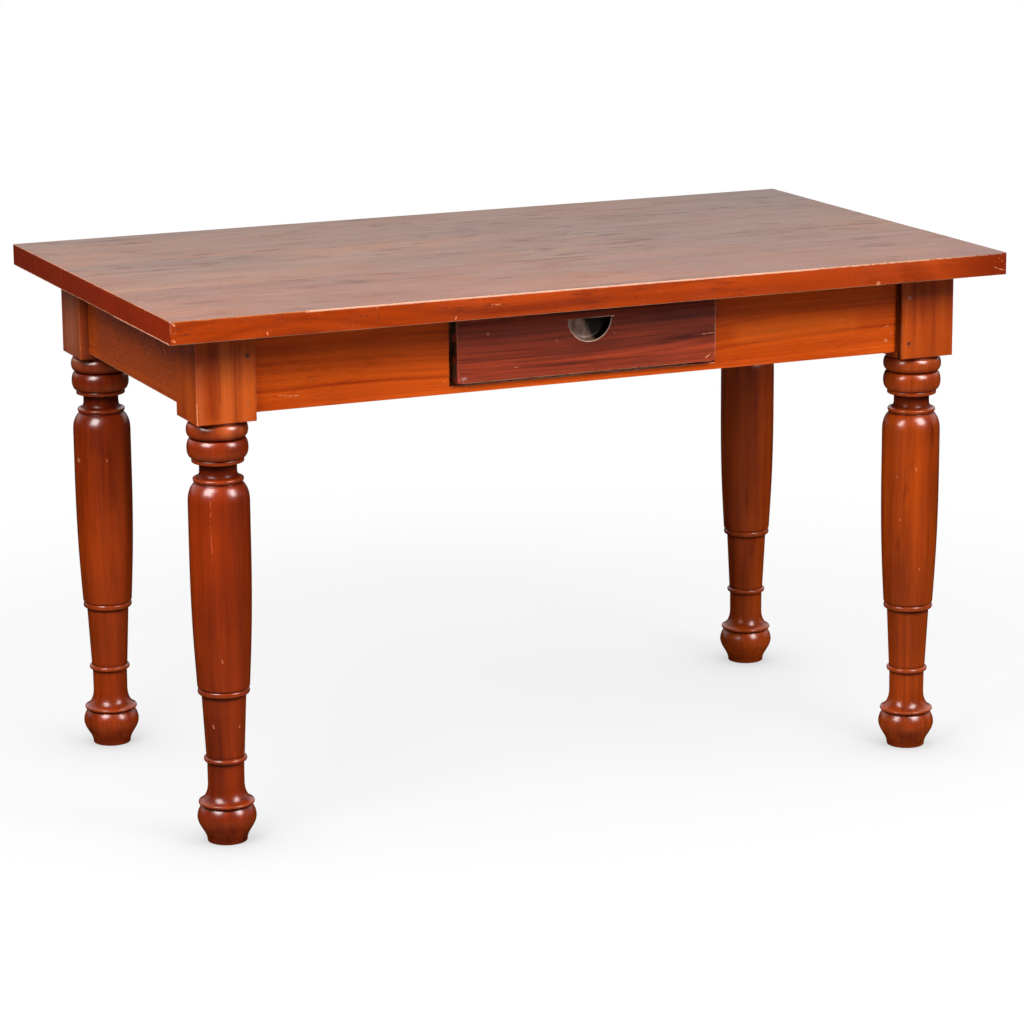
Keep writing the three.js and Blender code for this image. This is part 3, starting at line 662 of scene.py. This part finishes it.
# The legs: each is turned from one square of hardwood, whose upper end stays square for the
# mortises. Rings, coves and a bun foot are cut in the lathe, then stained and polished.
# Each stretch: kind, end radius, rise, and what shapes it, in millimetres from the floor up.
LEG_STRETCHES = [
    ("swell", 28.5, 1.5, (0.8, 0.1, 1, 0.5), 3),
    ("swell", 42, 35, (0, 0.36, 1, 0.62), 16),
    ("swell", 34.6, 18.2, (0, 0.36, 0.5, 0.8), 12),
    ("swell", 39.8, 2.7, (0.7, 0.15, 1, 0.55), 5),
    ("swell", 39, 2.3, (0, 0.55, 0.5, 1), 4),
    ("taper", 37.4, 0.7),
    ("swell", 26, 25.6, (0.5, 0.1, 1, 0.42), 16),
    ("taper", 26.2, 32.3),
    ("taper", 29.4, 0.5),
    ("bead", 30.7, 27.6, 6.2, 8),
    ("taper", 27.2, 0.8),
    ("taper", 31.6, 90.7),
    ("taper", 34.8, 0.6),
    ("bead", 36.9, 35.4, 7.4, 8),
    ("taper", 35.2, 1.2),
    ("swell", 37.2, 3.3, (0.7, 0.15, 1, 0.5), 4),
    ("swell", 43.4, 201, (0.5, 0.27, 1, 0.5), 18),
    ("taper", 43.4, 64),
    ("swell", 33.4, 27.3, (0, 0.45, 0.35, 0.78), 14),
    ("taper", 33.2, 0.8),
    ("swell", 35.7, 4.2, (0.8, 0.1, 1, 0.5), 4),
    ("swell", 34.9, 1.7, (0, 0.6, 0.5, 1), 3),
    ("swell", 26.5, 9.6, (0.66, 0.06, 1, 0.4), 9),
    ("taper", 26.4, 8.6),
    ("swell", 28, 3, (0, 0.6, 0.3, 1), 3),
    ("taper", 35.9, 1),
    ("swell", 36.8, 1.4, (0.8, 0.1, 1, 0.5), 2),
    ("taper", 36.8, 2.6),
    ("swell", 36, 1.6, (0, 0.5, 0.5, 1), 3),
    ("taper", 35.8, 0.5),
    ("bead", 43.1, 37.2, 28.3, 16),
    ("taper", 36.4, 1),
    ("bead", 43.3, 38.6, 21.3, 12),
    ("taper", 38.3, 1.2),
    ("taper", 38.3, 5),
]

def leg_outline():
    """The radius and height of each point of a leg's turned outline."""
    outline = [(0.0, 0.0), (27.3, 0.0)]
    for kind, radius, *shape in LEG_STRETCHES:
        first_radius, first_height = outline[-1]
        change = radius - first_radius
        if kind == "taper":
            parts = max(1, round(abs(shape[0]) / 6))
            for part in range(1, parts + 1):
                share = part / parts
                outline.append((first_radius + change * share, first_height + shape[0] * share))
        elif kind == "swell":
            rise, (r1, z1, r2, z2), steps = shape
            for step in range(1, steps + 1):
                t = step / steps
                early, late, end = 3 * t * (1 - t) ** 2, 3 * t * t * (1 - t), t ** 3
                outline.append((
                    first_radius + change * (r1 * early + r2 * late + end),
                    first_height + rise * (z1 * early + z2 * late + end),
                ))
        else:
            last_radius, rise, steps = shape
            for step in range(1, steps + 1):
                angle = math.pi * step / steps
                way = (1 - math.cos(angle)) / 2
                base = first_radius + (last_radius - first_radius) * way
                outline.append((base + (radius - base) * math.sin(angle), first_height + rise * way))
    outline.append((0.0, outline[-1][1]))
    return [(r * MILLIMETRE, z * MILLIMETRE) for r, z in outline]

LEG_AROUND = 72
leg_low, leg_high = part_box("leg_front_left")
leg_middle = (leg_low + leg_high) / 2
outline = leg_outline()
turning = start_piece(bpy.ops.mesh.primitive_plane_add, "turning", size=0.01)
bpy.ops.object.mode_set(mode="EDIT")
bpy.ops.mesh.select_mode(type="VERT")
bpy.ops.mesh.select_all(action="SELECT")
bpy.ops.mesh.merge(type="CENTER")
last = outline[0]
for point in outline[1:]:
    step = (point[0] - last[0], 0, point[1] - last[1])
    bpy.ops.mesh.extrude_region_move(TRANSFORM_OT_translate={"value": step})
    last = point
bpy.ops.mesh.select_all(action="SELECT")
bpy.ops.mesh.spin(steps=LEG_AROUND, angle=2 * math.pi, center=(0, 0, 0), axis=(0, 0, 1))
bpy.ops.mesh.select_all(action="SELECT")
bpy.ops.mesh.remove_doubles(threshold=SAME_PLACE)
bpy.ops.mesh.normals_make_consistent(inside=False)
bpy.ops.transform.translate(value=(leg_middle.x, leg_middle.y, 0))
bpy.ops.object.mode_set(mode="OBJECT")

def set_relief(piece, outline, middle, reach):
    """Gives each point of a turned piece its height over the evened-out outline around it."""
    heights = [step * MILLIMETRE / 2 for step in range(1300)]
    widths = []
    index = 1
    for at in heights:
        while index < len(outline) - 2 and outline[index + 1][1] < at:
            index += 1
        (r0, z0), (r1, z1) = outline[index], outline[index + 1]
        share = min(max((at - z0) / max(z1 - z0, 1e-9), 0), 1)
        widths.append(r0 + (r1 - r0) * share)
    relief = piece.data.attributes.new("relief", "FLOAT", "POINT")
    for vertex in piece.data.vertices:
        radius = math.hypot(vertex.co.x - middle.x, vertex.co.y - middle.y)
        at = round(vertex.co.z / MILLIMETRE * 2)
        near = widths[max(at - reach, 2):max(at + reach, 12)]
        wide = widths[max(at - 5 * reach, 2):max(at + 5 * reach, 12)]
        if vertex.co.z < outline[-1][1] - 0.003 and radius > 0.01:
            level = (radius - sum(near) / len(near)) + 0.22 * (radius - sum(wide) / len(wide))
            relief.data[vertex.index].value = level / MILLIMETRE

STREAK_RED = (196, 84, 44)
NEAR_BLOCK_MARKS = on_face(
    -310,
    ((212, 104, 44), 14, (-551, 716), (-551, 600), 4, 0, 0.4),
    ((204, 96, 38), 13, (-524, 700), (-524, 600), 4, 0, 0.35),
    ((176, 92, 52), 8, (-589, 690), (-589, 600), 4, 0, 0.35),
    ((110, 28, 2), 14, (-574, 737), (-572, 625), 5, 0, 0.45),
    ((96, 24, 4), 1.6, (-539, 730), (-538, 600), 3, 0.3, 0.5),
    ((110, 30, 6), 1.6, (-562, 737), (-561, 640), 3, 0.3, 0.4),
)
LEG_MARKS = {
    "front_left": (
        (STREAK_RED, 0.7, (-575.6, -302.6, 503), (-577.2, -301.5, 476), 4),
        (STREAK_RED, 0.6, (-577.2, -301.5, 476), (-575, -303, 420), 4),
        (NICK_PALE, 0.7, (-566, -303.8, 275), (-565.6, -303.8, 271), 4),
        (NICK_PALE, 0.6, (-587.2, -284.5, 379), (-587, -284.5, 375), 4),
        (NICK_PALE, 1.1, (-575.3, -284.8, 177), (-573.9, -285.6, 172), 4),
        (NICK_PALE, 0.9, (-538.3, -293.4, 174), (-538.6, -293.5, 172), 4),
        (NICK_PALE, 0.8, (-544.1, -295.6, 152), (-543.8, -295.6, 150), 4),
        (STREAK_RED, 0.8, (-594.6, -309.6, 730), (-594.6, -309.6, 640), 0.6, 0.3, 0.9),
        (NICK_PALE, 0.9, (-594.6, -309.6, 642), (-594.6, -309.6, 611), 1.5, 0.8, 1),
        *NEAR_BLOCK_MARKS,
    ),
    "front_right": (
        # Painted shade on the block's left side, where it stands proud of the front apron.
        ((24, 6, 2), 8, (508, -302, 606), (508, -302, 740), 0, 0, 0.94),
        (NICK_PALE, 0.7, (515.2, -290.3, 430), (516, -290.8, 427), 4),
        (NICK_PALE, 0.7, (537.7, -307.7, 443), (538.6, -308, 439), 4),
        (NICK_PALE, 0.6, (518.9, -295.2, 364), (519.2, -295.4, 361), 4),
    ),
    "rear_left": (
        # A painted pale sheen, a reflection, on the block's left side.
        ((203, 173, 149), 46, (-595, 266, 640), (-595, 266, 737), 0, 0, 0.17),
        # Painted shade on the block's front side, beside the end apron.
        ((60, 16, 4), 13, (-580, 223, 606), (-580, 223, 737), 0, 0, 0.6),
        (NICK_PALE, 0.8, (-538.9, 225, 508), (-538.5, 225, 502), 4),
        (NICK_PALE, 0.7, (-558.4, 223.7, 456), (-558.2, 223.7, 452), 4),
        ((50, 12, 4), 1, (-552.4, 223.1, 405), (-552, 223.1, 400), 4),
        ((50, 12, 4), 0.9, (-578.3, 232.4, 347), (-577, 231.6, 344), 4),
    ),
}
LEG_TONES = {
    "front_left": ((156, 50, 0), (76, 14, 0)),
    "front_right": ((190, 74, 2), (96, 26, 0)),
    "rear_left": ((172, 60, 0), (84, 18, 0)),
    "rear_right": ((196, 78, 4), (110, 30, 0)),
}
BLOCK_BOTTOM = 0.611
square = start_box("square", (leg_low.x, leg_low.y, BLOCK_BOTTOM), leg_high)
round_edges(square, lambda middle: middle.z < leg_high.z - 0.001, 0.0011, 3)
cut_with(square, turning, "UNION")
FIT = 0.0003
PAST = 0.01
SOCKET_ROOM = 0.001
TENON_LENGTH = 0.048
TENON_HALF = 0.005
TENON_LOW = 0.627
TENON_HIGH = 0.714
long_apron = (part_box("apron_front")[0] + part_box("apron_front")[1]) / 2
end_apron = (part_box("apron_left")[0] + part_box("apron_left")[1]) / 2
cheek = TENON_HALF + FIT
socket_x = leg_high.x - TENON_LENGTH - SOCKET_ROOM
socket_y = leg_high.y - TENON_LENGTH - SOCKET_ROOM
for low_corner, high_corner in (
    ((socket_x, long_apron.y - cheek), (leg_high.x + PAST, long_apron.y + cheek)),
    ((end_apron.x - cheek, socket_y), (end_apron.x + cheek, leg_high.y + PAST)),
):
    low = (*low_corner, TENON_LOW - FIT)
    high = (*high_corner, TENON_HIGH + FIT)
    cut_with(square, start_box("mortise", low, high))
PEG_HOLE = 0.00315
PEG_DEPTH = 0.0443
PEG_X = abs(sum(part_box("peg_front_left_lower"), Vector()).x) / 2
PEG_HEIGHTS = [sum(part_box(f"peg_front_left_{level}"), Vector()).z / 2 for level in ("lower", "upper")]

def drill_peg_hole(piece, place, depth):
    """Bores a peg's hole from front to back, with its middle at a place."""
    drill = start_piece(
        bpy.ops.mesh.primitive_cylinder_add, "drill", vertices=24, radius=PEG_HOLE, depth=depth,
        location=place, rotation=(math.pi / 2, 0, 0),
    )
    cut_with(piece, drill)

for height in PEG_HEIGHTS:
    drill_peg_hole(square, (-PEG_X, leg_low.y, height), 2 * PEG_DEPTH)
set_relief(square, outline, leg_middle, 10)
for name in LEG_TONES:
    leg = square.copy()
    leg.data = square.data.copy()
    leg.name = f"turned_leg_{name}"
    leg.data.name = leg.name
    bpy.context.scene.collection.objects.link(leg)
    pick(leg)
    leg.scale = (1 if "left" in name else -1, 1 if "front" in name else -1, 1)
    bpy.ops.object.transform_apply(location=False, rotation=False, scale=True)
    bpy.ops.object.mode_set(mode="EDIT")
    bpy.ops.mesh.select_all(action="SELECT")
    bpy.ops.mesh.normals_make_consistent(inside=False)
    bpy.ops.object.mode_set(mode="OBJECT")
    low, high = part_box(f"leg_{name}")
    look = {"pale": (206, 88, 14), "dark": (128, 40, 2), "rings": 0.12, "streaks": 0.5, "clouds": 0.95,
            "fibres": 0.25, "pores": 0.2, "worn": 0.4, "reach": 0.002, "clear": 0.42, "dull": 0.55,
            "turned": LEG_TONES[name], "flecks": 0.12, "hollow": 0.8, "coat_rough": 0.25,
            "coat_ior": 1.55, "specular": 0.02}
    centre = ((low + high) / 2 / MILLIMETRE).xy
    neck = ((88, 22, 6), 62, (*centre, 512), (*centre, 596), 0, 0, 0.5)
    shin = ((70, 22, 8), 80, (*centre, 180), (*centre, 230), 0, 0, 0.32)
    darkened = (neck,) if name == "rear_right" else (shin, neck)
    look["marks"] = (*darkened, *LEG_MARKS.get(name, ()))
    low.z = BLOCK_BOTTOM
    material = make_wood(f"polished_leg_{name}", low, high, "z", 10 + len(bpy.data.materials), look)
    finish_piece(leg, "table", material, f"leg_{name}", smooth=40)
bpy.data.objects.remove(square)


# The aprons: four boards tenoned into the legs. The front one is cut out for the drawer, with
# a thin strip left below it.
APRON_ARRIS = 0.0008
APRON_HOLE = 0.03
TENON_ARRIS = 0.0015
OPENING_LEFT = -0.214
OPENING_RIGHT = 0.204
STRIP_TOP = 0.6305
LONG_SHOULDER = 0.5078
END_SHOULDER = 0.2228
SLOT_LOW = 0.7205
SLOT_HIGH = 0.7291
SLOT_DEPTH = 0.0078
HOUSING_DEPTH = 0.0063
FRONT_APRON_MARKS = on_face(
    -295,
    # Painted shade under the overhang of the top, along the apron's upper edge.
    ((60, 14, 2), 15, (-508, 739), (508, 739), 0, 0, 0.4),
    (NICK_PALE, 0.6, (486, 659), (494, 661), 3),
    (NICK_PALE, 0.6, (489, 648), (500, 650), 4),
    (NICK_PALE, 0.5, (-396, 646), (-392, 644), 3),
    (NICK_PALE, 0.6, (-470, 640), (-440, 638), 5),
    (NICK_PALE, 0.5, (-289, 690), (-286, 688), 2),
    (NICK_PALE, 0.5, (-225, 640), (-218, 638), 3),
    (DARK_SPECK, 0.7, (300, 668), (322, 669), 4),
    # Painted shade at the apron's right end, beside the leg.
    ((34, 10, 2), 4, (508, 612), (508, 737), 0, 0, 0.9),
    # Painted light: a paler band on the apron's right part.
    ((232, 110, 30), 18, (250, 668), (430, 672), 8, 0, 0.3),
)
for name, grain in (("front", "x"), ("rear", "x"), ("left", "y"), ("right", "y")):
    low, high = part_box(f"apron_{name}")
    centre = (low + high) / 2
    board_low = low.copy()
    board_high = high.copy()
    along = 0 if grain == "x" else 1
    shoulder = LONG_SHOULDER if grain == "x" else END_SHOULDER
    board_low[along] = -shoulder
    board_high[along] = shoulder
    apron = start_box(f"apron_board_{name}", board_low, board_high)
    if name == "front":
        opening_low = (OPENING_LEFT, low.y - PAST, STRIP_TOP)
        opening_high = (OPENING_RIGHT, high.y + PAST, high.z + PAST)
        cut_with(apron, start_box("opening", opening_low, opening_high))
    round_edges(apron, lambda middle: True, APRON_ARRIS, 2)
    across = 1 - along
    for side in (-1, 1):
        tenon_low = Vector((low.x, low.y, TENON_LOW))
        tenon_high = Vector((high.x, high.y, TENON_HIGH))
        tenon_low[across] = centre[across] - TENON_HALF
        tenon_high[across] = centre[across] + TENON_HALF
        if side < 0:
            tenon_high[along] = PAST - shoulder
        else:
            tenon_low[along] = shoulder - PAST
        tenon = start_box("tenon", tenon_low, tenon_high)
        round_edges(
            tenon, lambda middle: abs(abs(middle[along]) - high[along]) < SAME_PLACE, TENON_ARRIS, 1
        )
        cut_with(apron, tenon, "UNION")
    outward = 1 if name in ("front", "left") else -1
    inner = high[across] if outward > 0 else low[across]
    # Only the buttons whose tongue reaches a few millimetres into this board get a slot.
    cuts = []
    for button in [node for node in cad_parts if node.startswith("top_button_")]:
        slot_low, slot_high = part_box(button)
        reach = slot_low[across] if outward > 0 else slot_high[across]
        if (inner - reach) * outward > 0.002 and abs(inner - reach) < 0.012:
            cuts.append((slot_low, slot_high, SLOT_DEPTH, SLOT_LOW, SLOT_HIGH))
    if grain == "x":
        for side in ("left", "right"):
            housing_low, housing_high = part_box(f"drawer_bearer_{side}")
            ceiling = housing_high.z + FIT
            cuts.append((housing_low, housing_high, HOUSING_DEPTH, low.z - PAST, ceiling))
    for cut_low, cut_high, depth, bottom, ceiling in cuts:
        start = Vector((cut_low.x - FIT, cut_low.y - FIT, bottom))
        end = Vector((cut_high.x + FIT, cut_high.y + FIT, ceiling))
        start[across], end[across] = sorted((inner - outward * depth, inner + outward * PAST))
        cut_with(apron, start_box("slot", start, end))
    if grain == "x":
        for side in (-1, 1):
            for height in PEG_HEIGHTS:
                drill_peg_hole(apron, (side * PEG_X, centre.y, height), APRON_HOLE)
    look = {"pale": (219, 90, 14), "dark": (144, 42, 2), "rings": 0.4, "clouds": 0.5,
            "fibres": 0.3, "pores": 0.3, "worn": 0.3, "reach": 0.0025, "clear": 0.26, "dull": 0.36}
    look["bare_face"] = (across, inner)
    if name in ("left", "right"):
        look.update(pale=(206, 86, 14), dark=(142, 48, 4), clouds=0.3, fibres=0.12, streaks=0.35)
        look.update(pores=0.1, bump=0.1)
    if name == "left":
        # A painted highlight: a pale line along the apron's lower outer arris.
        x, y, z = low / MILLIMETRE
        look["marks"] = (((250, 184, 140), 1.2, (x, -222, z), (x, 222, z), 0.5, 0.3, 0.8),)
    if name == "front":
        look["marks"] = FRONT_APRON_MARKS
    material = make_wood(f"polished_apron_{name}", low, high, grain, 30 + len(name), look)
    finish_piece(apron, "table", material, f"apron_{name}")


# The drawer front: a darker board with a half-moon finger pull scooped part of the way in,
# dovetail sockets for the sides at its back, and a groove for the drawer's bottom.
WORN_CORNER = 0.006
low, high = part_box("drawer_front")
front = start_box("drawer_face", low, high)
round_edges(
    front, lambda middle: middle.x > high.x - 0.0001 and middle.z < low.z + 0.0001, WORN_CORNER, 5
)
PULL_MIDDLE = Vector((0.0005, low.y, 0.7135))
PULL_RADIUS = 0.0335
PULL_DEPTH = 0.014
PULL_ROUND = 0.006
moon = start_piece(
    bpy.ops.mesh.primitive_cylinder_add, "moon", vertices=64, radius=PULL_RADIUS,
    depth=2 * PULL_DEPTH, location=PULL_MIDDLE, rotation=(math.pi / 2, 0, 0),
)
bpy.ops.object.mode_set(mode="EDIT")
bpy.ops.mesh.select_all(action="SELECT")
bpy.ops.mesh.bisect(plane_co=PULL_MIDDLE, plane_no=(0, 0, 1), use_fill=True, clear_outer=True)
bpy.ops.object.mode_set(mode="OBJECT")
floor_y = low.y + PULL_DEPTH
round_edges(
    moon, lambda middle: middle.y > floor_y - SAME_PLACE and middle.z < PULL_MIDDLE.z - 0.0005,
    PULL_ROUND, 5,
)
cut_with(front, moon)
round_edges(front, lambda middle: abs(middle.y - low.y) < SAME_PLACE, 0.0007, 3)
TAIL_LENGTH = 0.0143
TAIL_COUNT = 3
TAIL_ROOT = 0.55
TAIL_END = 0.7
for side in ("left", "right"):
    side_low, side_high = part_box(f"drawer_side_{side}")
    pitch = (side_high.z - side_low.z) / TAIL_COUNT
    for number in range(TAIL_COUNT):
        height = side_low.z + pitch * (number + 0.5)
        root = pitch * TAIL_ROOT / 2 + FIT
        tail_low = (side_low.x - FIT, high.y - TAIL_LENGTH, height - root)
        tail = start_box("tail", tail_low, (side_high.x + FIT, high.y, height + root))
        choose(tail, "FACE", lambda middle: middle.y < high.y - TAIL_LENGTH + SAME_PLACE)
        widen = (pitch * TAIL_END / 2 + FIT) / root
        bpy.ops.transform.resize(value=(1, 1, widen), center_override=(0, 0, height))
        bpy.ops.object.mode_set(mode="OBJECT")
        choose(tail, "FACE", lambda middle: middle.y > high.y - SAME_PLACE)
        bpy.ops.mesh.extrude_region_move(TRANSFORM_OT_translate={"value": (0, 0.004, 0)})
        bpy.ops.object.mode_set(mode="OBJECT")
        cut_with(front, tail)
panel_low, panel_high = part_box("drawer_panel")
spare = Vector((FIT, FIT, FIT))
cut_with(front, start_box("groove", panel_low - spare, panel_high + spare))
DRAWER_MARKS = on_face(
    -304,
    # Painted shade along the top of the drawer front, under the overhang of the top.
    ((36, 10, 6), 20, (-204, 738), (202, 738), 0, 0, 0.6),
    ((150, 78, 58), 0.7, (-204.6, 735), (-204.6, 637), 1),
    ((176, 124, 106), 0.8, (200.7, 735), (200.7, 642), 1.2),
    ((168, 108, 84), 0.6, (-198, 635), (194, 635), 0.8),
    ((158, 118, 112), 4.2, (-196.5, 641.5), (-194.5, 643), 3),
    ((190, 66, 50), 1.6, (-203, 639), (-203.5, 650), 2),
    ((186, 130, 110), 0.7, (180, 676), (199, 676.5), 1.5),
    ((40, 14, 8), 0.7, (172, 673), (197, 673.5), 1.5),
    (NICK_PALE, 0.9, (186, 641), (196, 647), 3),
    (NICK_PALE, 0.7, (-54, 687), (-50, 684), 2),
    (NICK_PALE, 0.7, (38, 690), (41, 688), 2),
    (NICK_PALE, 0.5, (-118, 652), (-112, 651), 2),
)
look = {"pale": (174, 63, 28), "dark": (72, 21, 10), "rings": 0.35, "streaks": 0.55, "clouds": 0.8,
        "fibres": 0.6, "flecks": 0.14, "pores": 0.3, "worn": 0.35, "reach": 0.0015, "clear": 0.36,
        "dull": 0.46, "coat": 0.0, "specular": 0.3, "nicks": 0.1, "marks": DRAWER_MARKS}
material = make_wood("dark_drawer_front", low, high, "x", 41, look)
# The pull was scooped after polishing: raw wood, grey on its left, with a painted shadow in black
# towards its right and its flat top.
tree = material.node_tree
shader = tree.nodes["Principled BSDF"]
spot = add_node(tree, "TexCoord").outputs["Object"]
apart = vector_step(tree, "SUBTRACT", spot, PULL_MIDDLE)
flat = vector_step(tree, "MULTIPLY", apart, (1, 0, 1))
radius = vector_step(tree, "LENGTH", flat)
right, back, up = axes(tree, apart)
inside = ramp(tree, back, 0.0006, 0.0014)
# Painted shadow: black towards the right and the flat top of the pull.
slant = plus(tree, right, times(tree, up, 0.55))
pull_shadow = plus(tree, slant, times(tree, noise(tree, spot, (90, 90, 90), 3), 0.012))
pull_shadow = ramp(tree, pull_shadow, -0.008, 0.004)
rubbed = noise(tree, spot, (160, 160, 60), 3, 0.6)
raw = blend_colour(tree, ramp(tree, rubbed, 0.35, 0.65), shade(132, 92, 77), shade(188, 153, 135))
raw = blend_colour(tree, pull_shadow, raw, shade(22, 9, 6))
old = shader.inputs["Base Color"].links[0].from_socket
within = calc(tree, "LESS_THAN", radius, PULL_RADIUS + 0.001)
within = times(tree, within, calc(tree, "LESS_THAN", up, 0.0005))
old = blend_colour(tree, times(tree, inside, within), old, raw)
rim = calc(tree, "ABSOLUTE", minus(tree, radius, PULL_RADIUS + 0.0002))
rim = ramp(tree, rim, 0.0004, 0.0011, 1.0, 0.0)
rim = times(tree, rim, ramp(tree, back, 0.0006, 0.0012, 1.0, 0.0))
rim = times(tree, rim, ramp(tree, up, -0.006, 0.0, 1.0, 0.0))
ceiling = ramp(tree, calc(tree, "ABSOLUTE", up), 0.0004, 0.0010, 1.0, 0.0)
ceiling = times(tree, ceiling, ramp(tree, right, -0.02, 0.02, 0.1, 1.0))
ends = ramp(tree, radius, PULL_RADIUS + 0.004, PULL_RADIUS + 0.006, 1.0, 0.0)
ceiling = times(tree, ceiling, ends)
ceiling = times(tree, ceiling, ramp(tree, back, 0.0008, 0.0016, 1.0, 0.0))
rim = calc(tree, "MAXIMUM", rim, ceiling)
tree.links.new(blend_colour(tree, rim, old, shade(232, 200, 184)), shader.inputs["Base Color"])
finish_piece(front, "drawer", material, "drawer_front")


# Inside, the wood was never polished: drawer sides, back, bottom, bearers, stops and buttons.
BARE_LOOK = {
    "pale": (176, 138, 98), "dark": (128, 92, 60), "worn": 0.2, "clear": 0.6, "dull": 0.8,
    "coat": 0.0, "nicks": 0.02, "raw": (190, 160, 120),
}
BARE = (
    "drawer_side_left", "drawer_side_right", "drawer_back", "drawer_panel", "drawer_bearer_left",
    "drawer_bearer_right", "drawer_stop_left", "drawer_stop_right", "top_button_front_left",
    "top_button_front_right", "top_button_rear_left", "top_button_rear_middle",
    "top_button_rear_right", "top_button_end_left", "top_button_end_right",
)
GRAIN_ALONG = ("drawer_back", "drawer_panel", "top_button_end_left", "top_button_end_right")
for number, name in enumerate(BARE):
    grain = "x" if name in GRAIN_ALONG else "y"
    low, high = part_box(name)
    look = dict(BARE_LOOK)
    if name.startswith("drawer_side"):
        # Painted shade: the front end of each side is darkened, where it shows in the gap beside the
        # drawer front.
        x = (low.x + high.x) / 2 / MILLIMETRE
        front_end = low.y / MILLIMETRE + 4
        look["marks"] = (((50, 20, 10), 24, (x, front_end, 600), (x, front_end, 760), 0, 0, 0.85),)
    dress(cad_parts[name], make_wood(f"bare_{name}", low, high, grain, 60 + number, look))


# Pegs of darker wood pin the tenons, and iron screws and nails hold buttons and drawer bottom.
PEG_TONES = {
    "peg_front_right_upper": {"pale": (170, 120, 96), "dark": (120, 78, 60)},
    "peg_front_left_lower": {"pale": (196, 96, 34), "dark": (130, 54, 14)},
}
PEG_LOOK = {
    "pale": (96, 44, 22), "dark": (50, 20, 10), "worn": 0.2, "clear": 0.4, "dull": 0.6, "coat": 0.0,
}
for name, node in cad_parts.items():
    if name.startswith("peg_"):
        look = {**PEG_LOOK, **PEG_TONES.get(name, {})}
        dress(node, make_wood(f"peg_wood_{name}", *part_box(name), "y", 90, look))

iron = bpy.data.materials.new("dark_iron")
iron.use_nodes = True
tree = iron.node_tree
shader = tree.nodes["Principled BSDF"]
spot = add_node(tree, "TexCoord").outputs["Object"]
rust = ramp(tree, noise(tree, spot, (700, 700, 700), 4, 0.6), 0.4, 0.66)
fill(
    tree, shader.inputs, Base_Color=blend_colour(tree, rust, shade(62, 58, 56), shade(96, 60, 42)),
    Roughness=plus(tree, 0.4, times(tree, rust, 0.35)),
    Metallic=minus(tree, 0.95, times(tree, rust, 0.7)),
)
for name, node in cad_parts.items():
    if "screw" in name or "nail" in name:
        dress(node, iron)
